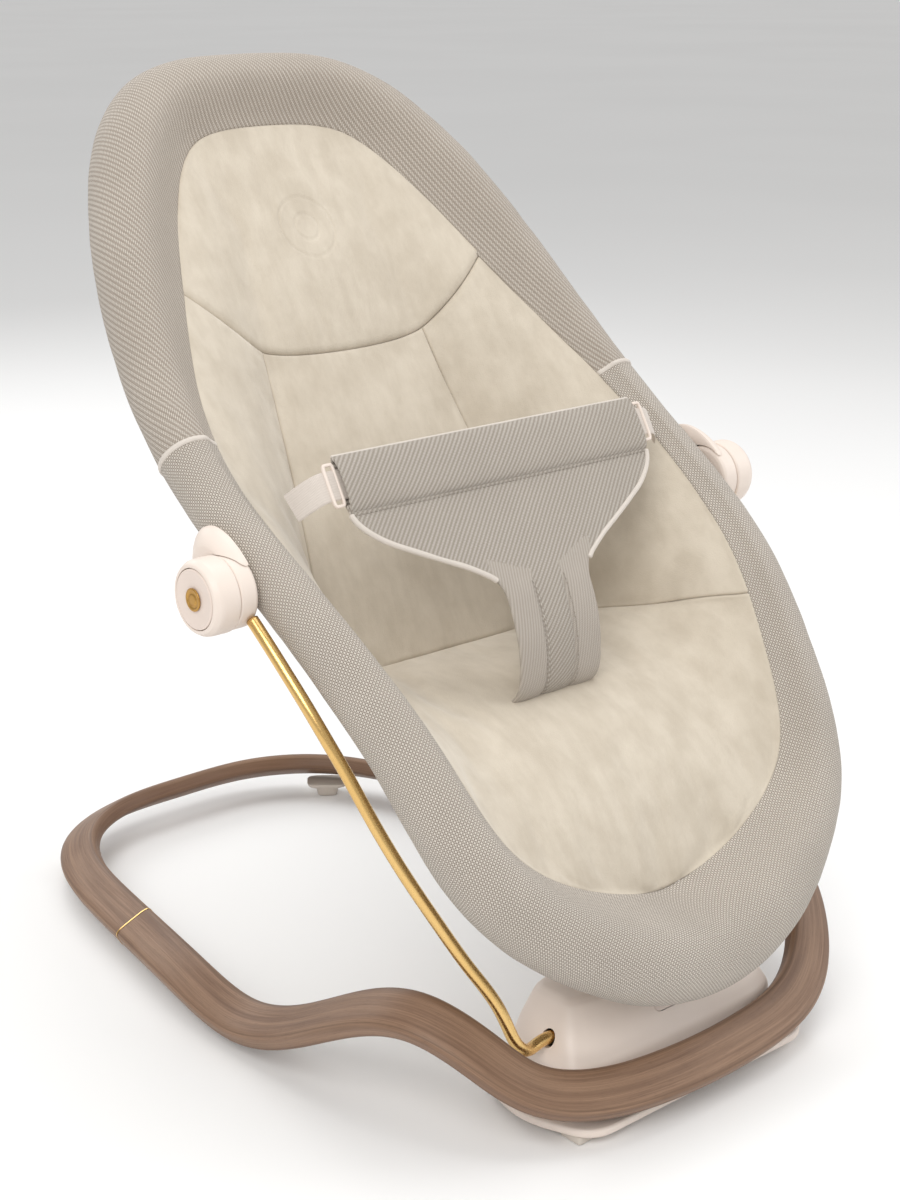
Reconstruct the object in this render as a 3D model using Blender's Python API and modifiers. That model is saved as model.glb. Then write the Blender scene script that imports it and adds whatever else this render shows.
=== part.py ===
"""Infant bouncer seat: bent-wood floor ring, sprung leg tubes, padded reclining seat.

Axes: +Z up, -Y towards the foot end, +Y towards the head end, symmetric about X = 0.
The origin is on the floor at the centre of the footprint. All lengths are in metres.
"""
import math

import bmesh
import bpy
import numpy as np
from mathutils import Matrix, Vector

# ---------------------------------------------------------------- driving dimensions
ORIGIN_Y = 0.0701            # footprint centre, measured from the seat designer's datum
GAP = 0.0003                 # running gap between neighbouring solids

# bent-wood floor ring: half centre line from the rear middle to the front middle
RING_PATH = [(0.000, 0.262, 0.029), (0.069, 0.257, 0.029), (0.130, 0.223, 0.029),
             (0.167, 0.161, 0.029), (0.184, 0.089, 0.029), (0.196, 0.016, 0.029),
             (0.207, -0.055, 0.028), (0.2085, -0.125, 0.022), (0.206, -0.188, 0.042),
             (0.202, -0.246, 0.074), (0.190, -0.306, 0.092), (0.170, -0.343, 0.074),
             (0.143, -0.369, 0.048), (0.100, -0.389, 0.036), (0.050, -0.398, 0.033),
             (0.000, -0.400, 0.032)]
RING_WIDTH = 0.0345
RING_THICK = 0.0160
RING_TILT_DEG = [(0.0, 33.0), (0.3, 28.0), (0.65, 28.0), (1.0, 38.0)]
RING_JOINT_Y = 0.0450        # where the rear and front wood pieces meet
INLAY_LEN = 0.0014

# seat rim: half centre line from the foot end to the head end:
# x, y, z, tube radius, seam reach inwards, seam height above the rim plane
RIM = [(0.000, -0.3875, 0.110, 0.0310, 0.0500, 0.000), (0.055, -0.3855, 0.121, 0.0310, 0.0480, 0.001),
       (0.107, -0.3730, 0.146, 0.0290, 0.0400, 0.003), (0.159, -0.3450, 0.194, 0.0270, 0.0280, 0.006),
       (0.183, -0.2950, 0.268, 0.0250, 0.0210, 0.009), (0.197, -0.2430, 0.326, 0.0230, 0.0170, 0.011),
       (0.206, -0.1780, 0.375, 0.0210, 0.0150, 0.0125), (0.209, -0.1110, 0.420, 0.0210, 0.0155, 0.0125),
       (0.203, -0.0430, 0.477, 0.0220, 0.0260, 0.009), (0.183, 0.0170, 0.541, 0.0260, 0.0370, 0.005),
       (0.148, 0.0750, 0.609, 0.0290, 0.0390, 0.003), (0.090, 0.1200, 0.659, 0.0315, 0.0370, 0.003),
       (0.000, 0.1300, 0.670, 0.0310, 0.0350, 0.003)]
RIM_TILT_DEG = 46.0
RIM_DATUM = (-0.375, 0.135)  # y, z of the rim plane's datum
RIM_SEAM_T = 0.575           # where the lower and upper covers meet
HOOP_R = 0.0080              # steel hoop inside the rim
HOOP_BORE_R = 0.0088

# seat surface, in the rim plane: distance along it, height above it
BACK_LINE = [(0.05, -0.1430), (0.272, -0.0920), (0.345, -0.0700), (0.4365, -0.0470), (0.5135, -0.0290), (0.611, -0.0070), (0.660, 0.0020),
             (0.701, 0.0115)]
SEAT_LINE = [(0.0240, -0.0084), (0.060, 0.0060), (0.100, 0.0130), (0.140, 0.0085), (0.170, -0.0030),
             (0.192, -0.0170), (0.272, -0.0920), (0.340, -0.1600)]
CREASE_HALF = 0.118
CREASE_U = 0.272
PAD_THICK = 0.0120
SLING_THICK = 0.0030
SLING_GAP = 0.0012

# recline hub
HUB_Y, HUB_Z = -0.167, 0.372
HUB_R = 0.0265
HUB_FACE_X = 0.2655
RECLINE_MAX_DEG = 24.0

# leg tubes and the bounce axle
LEG_R = 0.0045
AXLE_Y, AXLE_Z = -0.3390, 0.0575
LEG_PATH = [(0.2350, -0.1895, 0.3570), (0.2340, -0.2020, 0.3460), (0.2315, -0.2210, 0.3270), (0.2280, -0.2380, 0.3075),
            (0.2225, -0.2520, 0.2860), (0.2150, -0.2620, 0.2640), (0.2060, -0.2740, 0.2360), (0.1900, -0.2950, 0.1910),
            (0.1740, -0.3080, 0.1570), (0.1570, -0.3215, 0.1230), (0.1430, -0.3325, 0.0960), (0.1370, -0.3380, 0.0780),
            (0.1310, -0.3415, 0.0640), (0.1230, -0.3415, 0.0578), (0.1150, -0.3398, 0.0568), (0.1090, -0.3390, 0.0575),
            (0.0900, -0.3390, 0.0575), (0.0700, -0.3390, 0.0575)]
AXLE_HALF = 0.0695

# front housing under the foot end
TRAY_Z0, TRAY_Z1 = 0.0062, 0.0130
COVER_TOP_Z = 0.0830

# harness
BELT_HALF = 0.146
HARNESS_LINE = [(0.0000, -0.1620, 0.4490), (0.0425, -0.1830, 0.4120), (0.0770, -0.2030, 0.3840), (0.1107, -0.2220, 0.3560),
                (0.1350, -0.2330, 0.3340), (0.1555, -0.2400, 0.3140), (0.1810, -0.2430, 0.2890), (0.2020, -0.2400, 0.2700),
                (0.2130, -0.2330, 0.2620), (0.2220, -0.2245, 0.2565)]
HARNESS_HALF = [(0.0, 0.146), (0.046, 0.146), (0.056, 0.140), (0.0685, 0.126), (0.0838, 0.098), (0.1000, 0.066),
                (0.1130, 0.046), (0.1250, 0.0410), (0.2220, 0.0405)]
HARNESS_THICK = 0.0030


# ---------------------------------------------------------------- scene and collections
for old in list(bpy.data.objects):
    bpy.data.objects.remove(old, do_unlink=True)

PARTS = bpy.data.collections.new("bouncer_seat")
CUTTERS = bpy.data.collections.new("cutters")
bpy.context.scene.collection.children.link(PARTS)
bpy.context.scene.collection.children.link(CUTTERS)


def srgb(r, g, b):
    def lin(c):
        c /= 255.0
        return c / 12.92 if c <= 0.04045 else ((c + 0.055) / 1.055) ** 2.4
    return (lin(r), lin(g), lin(b), 1.0)


def material(name, colour, rough, metal=0.0):
    mat = bpy.data.materials.new(name)
    mat.use_nodes = True
    node = mat.node_tree.nodes["Principled BSDF"]
    node.inputs["Base Color"].default_value = colour
    node.inputs["Roughness"].default_value = rough
    node.inputs["Metallic"].default_value = metal
    mat.diffuse_color = colour
    return mat


LOOKS = {
    "walnut": (srgb(135, 105, 82), 0.5, 0.0),
    "gold": (srgb(220, 185, 120), 0.25, 1.0),
    "cream_plastic": (srgb(228, 214, 203), 0.45, 0.0),
    "foot_rubber": (srgb(205, 196, 186), 0.8, 0.0),
    "mesh_fabric": (srgb(190, 182, 170), 0.9, 0.0),
    "velour": (srgb(200, 189, 172), 0.95, 0.0),
    "belt_fabric": (srgb(175, 168, 158), 0.9, 0.0),
    "webbing": (srgb(205, 195, 185), 0.7, 0.0),
    "piping": (srgb(214, 205, 195), 0.8, 0.0),
    "steel": (srgb(170, 172, 175), 0.3, 1.0),
    "acetal": (srgb(235, 235, 230), 0.4, 0.0),
}


def finish(obj, look, smooth_deg=35.0):
    """Give the piece its own material, smooth its round faces and file it under the parts."""
    obj.data.materials.clear()
    obj.data.materials.append(material(obj.name + "_" + look, *LOOKS[look]))
    if obj.type == "MESH" and smooth_deg:
        obj.data.shade_smooth()
        obj.data.set_sharp_from_angle(angle=math.radians(smooth_deg))
    for col in list(obj.users_collection):
        col.objects.unlink(obj)
    PARTS.objects.link(obj)
    return obj


def as_cutter(obj):
    for col in list(obj.users_collection):
        col.objects.unlink(obj)
    CUTTERS.objects.link(obj)
    obj.hide_render = True
    obj.display_type = "WIRE"
    return obj


def cut(obj, cutter, operation="DIFFERENCE"):
    mod = obj.modifiers.new("cut_" + cutter.name, "BOOLEAN")
    mod.operation = operation
    mod.solver = "EXACT"
    mod.object = cutter
    return mod


def at(x, y, z):
    """A point given from the designer's datum, moved to the footprint-centred frame."""
    return Vector((x, y + ORIGIN_Y, z))


# ---------------------------------------------------------------- curves by rule
def spline(points, where=None, count=None):
    """Natural cubic through the points, by chord length; where is in the same units."""
    pts = np.array(points, float)
    d = np.r_[0.0, np.cumsum(np.linalg.norm(np.diff(pts[:, :3], axis=0), axis=1))]
    n = len(d)
    h = np.diff(d)
    a = np.eye(n)
    rhs = np.zeros_like(pts)
    for i in range(1, n - 1):
        a[i, i - 1], a[i, i], a[i, i + 1] = h[i - 1], 2 * (h[i - 1] + h[i]), h[i]
        rhs[i] = 6 * ((pts[i + 1] - pts[i]) / h[i] - (pts[i] - pts[i - 1]) / h[i - 1])
    m = np.linalg.solve(a, rhs)
    s = np.linspace(0, d[-1], count) if where is None else np.asarray(where, float)
    k = np.clip(np.searchsorted(d, s, side="right") - 1, 0, n - 2)
    t0, t1, hk = (s - d[k])[:, None], (d[k + 1] - s)[:, None], h[k][:, None]
    return (m[k] * t1 ** 3 + m[k + 1] * t0 ** 3) / (6 * hk) + (pts[k] / hk - m[k] * hk / 6) * t1 \
        + (pts[k + 1] / hk - m[k + 1] * hk / 6) * t0, d


def mirrored_half(points, s):
    """Points of a curve that is symmetric about X = 0, from its half list.

    s runs -1..1: 0 is the list's first point and 1 its last; negative is the -X side.
    """
    half = np.array(points, float)
    flip = np.ones(half.shape[1])
    flip[0] = -1.0
    full = np.vstack([half[::-1][:-1] * flip, half, half[::-1][1:] * flip])
    d = np.r_[0.0, np.cumsum(np.linalg.norm(np.diff(full[:, :3], axis=0), axis=1))]
    n = len(half)
    lo, hi = d[n - 1], d[2 * n - 2]
    s = np.asarray(s, float)
    out, _ = spline(full, where=lo + np.abs(s) * (hi - lo))
    out[s < 0, 0] *= -1.0
    return out


def direction(fn, s, step=0.002):
    """Unit tangent of a curve given by fn(s) -> points."""
    t = fn(np.asarray(s) + step) - fn(np.asarray(s) - step)
    return t / np.linalg.norm(t, axis=1)[:, None]


def loop_mesh(name, rings, closed=False, inner=None):
    """A loft through rings of equal count. inner gives a second set of rings for a bore."""
    bm = bmesh.new()
    grid = [[bm.verts.new(p) for p in ring] for ring in rings]
    hole = [[bm.verts.new(p) for p in ring] for ring in inner] if inner else None
    k, n = len(grid[0]), len(grid)
    span = range(n if closed else n - 1)
    for i in span:
        j = (i + 1) % n
        for q in range(k):
            r = (q + 1) % k
            bm.faces.new((grid[i][q], grid[i][r], grid[j][r], grid[j][q]))
            if hole:
                bm.faces.new((hole[i][r], hole[i][q], hole[j][q], hole[j][r]))
    if not closed:
        for i, flip in ((0, False), (n - 1, True)):
            if hole:
                for q in range(k):
                    r = (q + 1) % k
                    f = (grid[i][r], grid[i][q], hole[i][q], hole[i][r])
                    bm.faces.new(f if not flip else tuple(reversed(f)))
            else:
                bm.faces.new(grid[i][::-1] if not flip else grid[i])
    bmesh.ops.recalc_face_normals(bm, faces=bm.faces)
    mesh = bpy.data.meshes.new(name)
    bm.to_mesh(mesh)
    bm.free()
    obj = bpy.data.objects.new(name, mesh)
    PARTS.objects.link(obj)
    return obj


def tube(name, points, radius, sides=2, look="gold", cap=True):
    """A round bar along a poly line."""
    crv = bpy.data.curves.new(name, "CURVE")
    crv.dimensions = "3D"
    crv.bevel_depth = radius
    crv.bevel_resolution = sides
    crv.use_fill_caps = cap
    sp = crv.splines.new("POLY")
    sp.points.add(len(points) - 1)
    for p, q in zip(sp.points, points):
        p.co = (q[0], q[1], q[2], 1.0)
    obj = bpy.data.objects.new(name, crv)
    PARTS.objects.link(obj)
    return finish(obj, look)


def to_mesh(obj):
    """Replace a curve object by its welded mesh, so that it can be cut."""
    deps = bpy.context.evaluated_depsgraph_get()
    mesh = bpy.data.meshes.new_from_object(obj.evaluated_get(deps))
    name, look = obj.name, obj.data.materials[0].name.replace(obj.name + "_", "")
    world = obj.matrix_world.copy()
    bpy.data.objects.remove(obj, do_unlink=True)
    bm = bmesh.new()
    bm.from_mesh(mesh)
    bmesh.ops.remove_doubles(bm, verts=bm.verts, dist=0.00001)
    bm.to_mesh(mesh)
    bm.free()
    new = bpy.data.objects.new(name, mesh)
    new.matrix_world = world
    PARTS.objects.link(new)
    return finish(new, look)


def turned(name, profile, look, side=1, steps=24):
    """A part turned about the hub axis: profile is (distance outwards along X, radius)."""
    mesh = bpy.data.meshes.new(name)
    prof = sorted(profile, key=lambda q: 0)
    verts = [(r, 0.0, x) for x, r in prof]
    mesh.from_pydata(verts, [(i, (i + 1) % len(verts)) for i in range(len(verts))] if min(r for _, r in prof) > 1e-6
                     else [(i, i + 1) for i in range(len(verts) - 1)], [])
    obj = bpy.data.objects.new(name, mesh)
    scr = obj.modifiers.new("turn", "SCREW")
    scr.axis = "Z"
    scr.angle = math.tau
    scr.steps = steps
    scr.render_steps = steps
    scr.use_merge_vertices = True
    scr.merge_threshold = 0.00005
    PARTS.objects.link(obj)
    obj.matrix_world = Matrix.Translation(at(0, HUB_Y, HUB_Z)) @ Matrix.Rotation(math.radians(90 * side), 4, "Y")
    return finish(obj, look)


def box(name, centre, size, look=None, bevel=0.0, segments=2, rot=None):
    bm = bmesh.new()
    bmesh.ops.create_cube(bm, size=1.0)
    for v in bm.verts:
        v.co = Vector((v.co.x * size[0], v.co.y * size[1], v.co.z * size[2]))
    mesh = bpy.data.meshes.new(name)
    bm.to_mesh(mesh)
    bm.free()
    obj = bpy.data.objects.new(name, mesh)
    PARTS.objects.link(obj)
    obj.matrix_world = Matrix.Translation(centre) @ (rot.to_4x4() if rot else Matrix.Identity(4))
    if bevel:
        mod = obj.modifiers.new("edges", "BEVEL")
        mod.width = bevel
        mod.segments = segments
        mod.limit_method = "ANGLE"
    return finish(obj, look) if look else as_cutter(obj)


def rod(name, p0, p1, radius, look=None, sides=24):
    """A straight pin between two points."""
    a, b = Vector(p0), Vector(p1)
    bm = bmesh.new()
    bmesh.ops.create_cone(bm, cap_ends=True, segments=sides, radius1=radius, radius2=radius, depth=(b - a).length)
    mesh = bpy.data.meshes.new(name)
    bm.to_mesh(mesh)
    bm.free()
    obj = bpy.data.objects.new(name, mesh)
    PARTS.objects.link(obj)
    obj.matrix_world = Matrix.Translation((a + b) / 2) @ (b - a).to_track_quat("Z", "Y").to_matrix().to_4x4()
    return finish(obj, look) if look else as_cutter(obj)


SIDES = (("left", -1), ("right", 1))


# ---------------------------------------------------------------- floor ring
def ring_point(s):
    return mirrored_half(RING_PATH, s)


def ring_rings(s_list, grow=0.0, sides=12):
    """Rounded-bar sections along the ring, leaning outwards by the tilt."""
    s_arr = np.asarray(s_list, float)
    c = ring_point(s_arr)
    t = direction(ring_point, s_arr)
    tilt = np.radians(np.interp(np.abs(s_arr), [q[0] for q in RING_TILT_DEG], [q[1] for q in RING_TILT_DEG]))
    rings = []
    for p, d, b in zip(c, t, tilt):
        out = np.cross((0, 0, 1.0), d)
        out /= np.linalg.norm(out)
        if out @ (p - np.array((0, -0.05, 0))) < 0:
            out = -out
        up = np.cross(d, out)
        if up[2] < 0:
            up = -up
        ew = -out * math.cos(b) + up * math.sin(b)
        en = out * math.sin(b) + up * math.cos(b)
        ring = []
        for k in range(sides):
            a = math.tau * (k + 0.5) / sides
            ca, sa = math.cos(a), math.sin(a)
            x = math.copysign(abs(ca) ** 0.62, ca) * (RING_WIDTH / 2 + grow)
            y = math.copysign(abs(sa) ** 0.62, sa) * (RING_THICK / 2 + grow)
            ring.append(at(*(p + ew * x + en * y)))
        rings.append(ring)
    return rings


def ring_s_at_y(y):
    lo, hi = 0.1, 0.6
    for _ in range(50):
        mid = (lo + hi) / 2
        if ring_point([mid])[0][1] > y:
            lo = mid
        else:
            hi = mid
    return lo


half_len = np.linalg.norm(np.diff(ring_point(np.linspace(0, 1, 400)), axis=0), axis=1).sum()
S_JOINT = ring_s_at_y(RING_JOINT_Y)
ds_inlay = (INLAY_LEN / 2) / half_len
ds_gap = GAP / half_len
rear_s = S_JOINT - ds_inlay - ds_gap
front_s = S_JOINT + ds_inlay + ds_gap
ring_rear = finish(loop_mesh("base_ring_rear", ring_rings(np.linspace(-rear_s, rear_s, 21))), "walnut", 50)
front_list = list(np.linspace(front_s, 1, 22)) + list(-np.linspace(1, front_s, 22)[1:])
ring_front = finish(loop_mesh("base_ring_front", ring_rings(front_list)), "walnut", 50)
for tag, sg in SIDES:
    band = ring_rings([sg * (S_JOINT - ds_inlay), sg * (S_JOINT + ds_inlay)], grow=0.0003)
    finish(loop_mesh("ring_inlay_" + tag, band), "gold")
    p = ring_point([sg * S_JOINT])[0]
    d = direction(ring_point, [sg * S_JOINT])[0]
    rod("ring_dowel_" + tag, at(*(p - d * 0.017)), at(*(p + d * 0.017)), 0.0030, "steel", 16)
    hole = rod("dowel_hole_" + tag, at(*(p - d * 0.0185)), at(*(p + d * 0.0185)), 0.0034, None, 16)
    for wood in (ring_rear, ring_front, bpy.data.objects["ring_inlay_" + tag]):
        cut(wood, hole)


# ---------------------------------------------------------------- feet, tray and front housing
def outline_block(name, outline, z0, z1, look, bevel=0.0015):
    """A flat plate from a plan outline: a filled 2D curve with depth."""
    crv = bpy.data.curves.new(name, "CURVE")
    crv.dimensions = "2D"
    crv.fill_mode = "BOTH"
    crv.extrude = (z1 - z0) / 2
    sp = crv.splines.new("POLY")
    sp.points.add(len(outline) - 1)
    for p, q in zip(sp.points, outline):
        p.co = (q[0], q[1], 0.0, 1.0)
    sp.use_cyclic_u = True
    obj = bpy.data.objects.new(name, crv)
    PARTS.objects.link(obj)
    obj.location = at(0, 0, (z0 + z1) / 2)
    finish(obj, look)
    bpy.context.view_layer.update()
    obj = to_mesh(obj)
    if bevel:
        mod = obj.modifiers.new("edges", "BEVEL")
        mod.width = bevel
        mod.segments = 1
        mod.limit_method = "ANGLE"
    return obj


def rounded_outline(pts, radius, seg=3):
    """Polygon corners replaced by arcs."""
    out, n = [], len(pts)
    for i in range(n):
        a, b, c = (Vector(pts[(i + k - 1) % n]) for k in range(3))
        u, v = (a - b).normalized(), (c - b).normalized()
        for k in range(seg + 1):
            t = k / seg
            p = b + u * radius * (1 - t) ** 2 + v * radius * t ** 2
            out.append((p.x, p.y))
    return out


tray_plan = rounded_outline([(-0.132, -0.345), (-0.112, -0.398), (0.112, -0.398), (0.132, -0.345), (0.118, -0.285), (-0.118, -0.285)], 0.020)
tray = outline_block("base_tray", tray_plan, TRAY_Z0, TRAY_Z1, "cream_plastic")


def taper_loft(name, sections, look, power=0.35, sides=28):
    """A closed form through rounded-rectangle sections: z, half x, y front, y back."""
    rings = []
    for z, hx, y0, y1, dz in sections:
        cy, hy = (y0 + y1) / 2, (y1 - y0) / 2
        ring = []
        for k in range(sides):
            a = math.tau * (k + 0.5) / sides
            ca, sa = math.cos(a), math.sin(a)
            x = math.copysign(abs(ca) ** power, ca) * hx
            y = cy + math.copysign(abs(sa) ** power, sa) * hy
            ring.append(at(x, y, z + dz * (y - cy) / max(hy, 1e-6)))
        rings.append(ring)
    return loop_mesh(name, rings)


# cover: z, half width, front y, rear y, lift at the rear edge
COVER = [(TRAY_Z1 + GAP, 0.1040, -0.3800, -0.2900, 0.0), (0.0380, 0.1060, -0.3775, -0.2920, 0.0),
         (0.0430, 0.1065, -0.3765, -0.2930, 0.0), (0.0590, 0.1000, -0.3665, -0.2960, 0.0),
         (0.0760, 0.0890, -0.3535, -0.3000, 0.0), (0.0815, 0.0850, -0.3480, -0.3030, 0.0),
         (0.0830, 0.0810, -0.3440, -0.3060, 0.0)]
cover = finish(taper_loft("housing_cover", COVER, "cream_plastic"), "cream_plastic", 40)
WALL = 0.0030
inner = taper_loft("cover_cavity", [(TRAY_Z1 - 0.004, 0.1010, -0.3770, -0.2930, 0.0), (0.0430, 0.1030, -0.3730, -0.2960, 0.0),
                                    (0.0590, 0.0965, -0.3625, -0.2990, 0.0), (0.0760, 0.0855, -0.3490, -0.3035, 0.0),
                                    (0.0796, 0.0820, -0.3440, -0.3065, 0.0)], None)
cut(cover, as_cutter(inner))
for tag, sg in SIDES:
    slot = rod("axle_window_" + tag, at(sg * 0.080, AXLE_Y, AXLE_Z), at(sg * 0.125, AXLE_Y, AXLE_Z), 0.0062, None, 20)
    cut(cover, slot)
    rod("tray_screw_" + tag, at(sg * 0.070, -0.330, TRAY_Z0 + 0.0006), at(sg * 0.070, -0.330, 0.0280), 0.0020, "steel", 12)
    cut(tray, rod("screw_hole_" + tag, at(sg * 0.070, -0.330, 0.0), at(sg * 0.070, -0.330, 0.0300), 0.0024, None, 12))
    # bearing saddle that carries the axle end, standing on the tray
    blk = box("bearing_block_" + tag, at(sg * 0.055, AXLE_Y, (TRAY_Z1 + GAP + AXLE_Z + 0.0095) / 2), (0.012, 0.018, AXLE_Z + 0.0095 - TRAY_Z1 - GAP),
              "acetal", 0.0015)
    cut(blk, rod("bearing_bore_" + tag, at(sg * 0.045, AXLE_Y, AXLE_Z), at(sg * 0.065, AXLE_Y, AXLE_Z), 0.0052, None, 32))
    rubber = outline_block("front_foot_" + tag, rounded_outline([(sg * 0.101 - 0.014, -0.3870), (sg * 0.101 + 0.014, -0.3850),
                                                                 (sg * 0.101 + 0.014, -0.3670), (sg * 0.101 - 0.014, -0.3670)], 0.003, 2),
                           0.0, TRAY_Z0 - GAP, "foot_rubber", 0.0008)

# front latch plate in the sloping face
SLOPE = math.atan2(0.0135, 0.0170)
face_n = Vector((0, -math.cos(SLOPE), math.sin(SLOPE)))
plate_c = at(0, -0.3599, 0.0673)
rot = Matrix.Rotation(math.pi / 2 - SLOPE, 3, "X")


def plate(name, width, height, radius, thick, look, depth=0.0):
    """A rounded plate lying in the sloping face, thick along the face's normal."""
    out = rounded_outline([(-width / 2, -height / 2), (width / 2, -height / 2), (width / 2, height / 2), (-width / 2, height / 2)], radius, 4)
    rings = []
    for d in (-thick / 2, thick / 2):
        rings.append([plate_c + face_n * (d + depth) + Vector((x, 0, 0)) + Vector((0, math.sin(SLOPE), math.cos(SLOPE))) * y for x, y in out])
    obj = loop_mesh(name, rings)
    return finish(obj, look, 30) if look else as_cutter(obj)


cut(cover, plate("latch_pocket", 0.0386, 0.0208, 0.0054, 0.0200, None))
latch = plate("front_latch", 0.0378, 0.0200, 0.0050, 0.0040, "cream_plastic", -0.0020)

# rear feet under the ring
for tag, sg in SIDES:
    foot_rings = []
    for z, hx, hy in ((0.0, 0.0095, 0.0095), (0.0070, 0.0105, 0.0105), (0.0095, 0.0180, 0.0125), (0.0125, 0.0195, 0.0130)):
        ang = math.radians(-38 * sg)
        ring = []
        for k in range(16):
            a = math.tau * (k + 0.5) / 16
            x = math.copysign(abs(math.cos(a)) ** 0.5, math.cos(a)) * hx
            y = math.copysign(abs(math.sin(a)) ** 0.5, math.sin(a)) * hy
            ring.append(at(sg * 0.137 + x * math.cos(ang) - y * math.sin(ang), 0.216 + x * math.sin(ang) + y * math.cos(ang), z))
        foot_rings.append(ring)
    finish(loop_mesh("rear_foot_" + tag, foot_rings), "foot_rubber", 40)


# ---------------------------------------------------------------- legs and bounce axle
leg_pts, leg_d = spline(LEG_PATH, count=34)
for tag, sg in SIDES:
    tube("leg_tube_" + tag, [at(sg * p[0], p[1], p[2]) for p in leg_pts], LEG_R, 2, "gold")
rod("bounce_axle", at(-AXLE_HALF, AXLE_Y, AXLE_Z), at(AXLE_HALF, AXLE_Y, AXLE_Z), 0.0050, "steel", 32)
coil = []
for k in range(37):
    a = math.tau * 4 * k / 36
    coil.append(at(0.026 + 0.016 * k / 36, AXLE_Y + 0.0080 * math.cos(a), AXLE_Z + 0.0080 * math.sin(a)))
coil_tail = [at(0.026, AXLE_Y + 0.0080, TRAY_Z1 + 0.006), at(0.026, AXLE_Y + 0.0080, AXLE_Z - 0.006)]
tube("bounce_spring", coil_tail + coil, 0.0011, 2, "steel")


# ---------------------------------------------------------------- seat rim
TH = math.radians(RIM_TILT_DEG)
EU = np.array((0.0, math.cos(TH), math.sin(TH)))
EN = np.array((0.0, -math.sin(TH), math.cos(TH)))
DATUM = np.array((0.0, RIM_DATUM[0], RIM_DATUM[1]))


def rim_data(s):
    return mirrored_half(RIM, s)


def rim_frames(s):
    s = np.asarray(s, float)
    q = rim_data(s)
    lo = rim_data(s - 0.003)[:, :3]
    hi = rim_data(s + 0.003)[:, :3]
    # past the head end the half list folds back, so the sign of X is restored there
    t = hi - lo
    over = np.abs(s) + 0.003 > 1.0
    t[over] = np.array((-1.0, 0.0, 0.0)) * np.sign(s[over])[:, None]
    t /= np.linalg.norm(t, axis=1)[:, None]
    inward = np.cross(EN[None, :], t)
    inward /= np.linalg.norm(inward, axis=1)[:, None]
    middle = DATUM + EU * 0.36
    inward *= np.sign(np.einsum("ij,ij->i", inward, middle - q[:, :3]))[:, None]
    upward = np.cross(t, inward)
    upward *= np.sign(upward @ EN)[:, None]
    return q, inward, upward


def rim_section(r, reach, high, n_out=7, n_top=3, n_low=2):
    """Section of the padded rim: round outside, a tongue on the inside that ends at the seam."""
    pts = []
    for k in range(n_out + 1):
        a = math.pi / 2 + math.pi * k / n_out
        pts.append((r * math.cos(a), r * math.sin(a)))
    low = (reach * 0.55, -r * 0.72)
    for k in range(1, n_low):
        t = k / n_low
        pts.append((low[0] * t, -r + (low[1] + r) * t * t))
    pts.append(low)
    seam = (reach, high)
    pts.append(seam)
    for k in range(1, n_top):
        t = k / n_top
        p0, p1, p2, p3 = seam, (reach - 0.012, high + 0.007), (r * 0.45, r * 1.0), (0.0, r)
        b = [(1 - t) ** 3, 3 * t * (1 - t) ** 2, 3 * t * t * (1 - t), t ** 3]
        pts.append((sum(w * p[0] for w, p in zip(b, (p0, p1, p2, p3))), sum(w * p[1] for w, p in zip(b, (p0, p1, p2, p3)))))
    return pts


def rim_rings(s_list, bore=False, grow=0.0):
    """Rings of the rim's section, or of its round bore, along the hoop."""
    q, inw, up = rim_frames(s_list)
    rings = []
    for row, a, b in zip(q, inw, up):
        sec = rim_section(row[3] + grow, row[4] - grow / 4, row[5])
        if bore:
            n = len(sec)
            sec = [(HOOP_BORE_R * math.cos(math.pi / 2 + math.tau * k / n), HOOP_BORE_R * math.sin(math.pi / 2 + math.tau * k / n))
                   for k in range(n)]
        rings.append([at(*(row[:3] + a * x + b * y)) for x, y in sec])
    return rings


seam_lo, seam_hi = RIM_SEAM_T - 0.0018, RIM_SEAM_T + 0.0018
low_half = np.linspace(0.0, seam_lo, 14)
top_half = np.linspace(seam_hi, 1.0, 12)
low_s = np.r_[-low_half[::-1], low_half[1:]]
top_s = np.r_[top_half, -top_half[::-1][1:]]
finish(loop_mesh("rim_cover_lower", rim_rings(low_s), inner=rim_rings(low_s, True)), "mesh_fabric", 50)
finish(loop_mesh("rim_cover_upper", rim_rings(top_s), inner=rim_rings(top_s, True)), "mesh_fabric", 50)
for tag, sg in SIDES:
    s_pair = [sg * (RIM_SEAM_T - 0.0012), sg * (RIM_SEAM_T + 0.0012)]
    finish(loop_mesh("rim_piping_" + tag, rim_rings(s_pair, grow=0.0012), inner=rim_rings(s_pair, True)), "piping", 40)

hoop_s = np.r_[low_half, top_half, -top_half[::-1][1:], -low_half[::-1][:-1]]
hq, ha, hb = rim_frames(hoop_s)
hoop_rings = []
for row, a, b in zip(hq, ha, hb):
    hoop_rings.append([at(*(row[:3] + HOOP_R * (a * math.cos(math.tau * k / 8) + b * math.sin(math.tau * k / 8)))) for k in range(8)])
finish(loop_mesh("seat_hoop_tube", hoop_rings, closed=True), "steel", 50)


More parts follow.
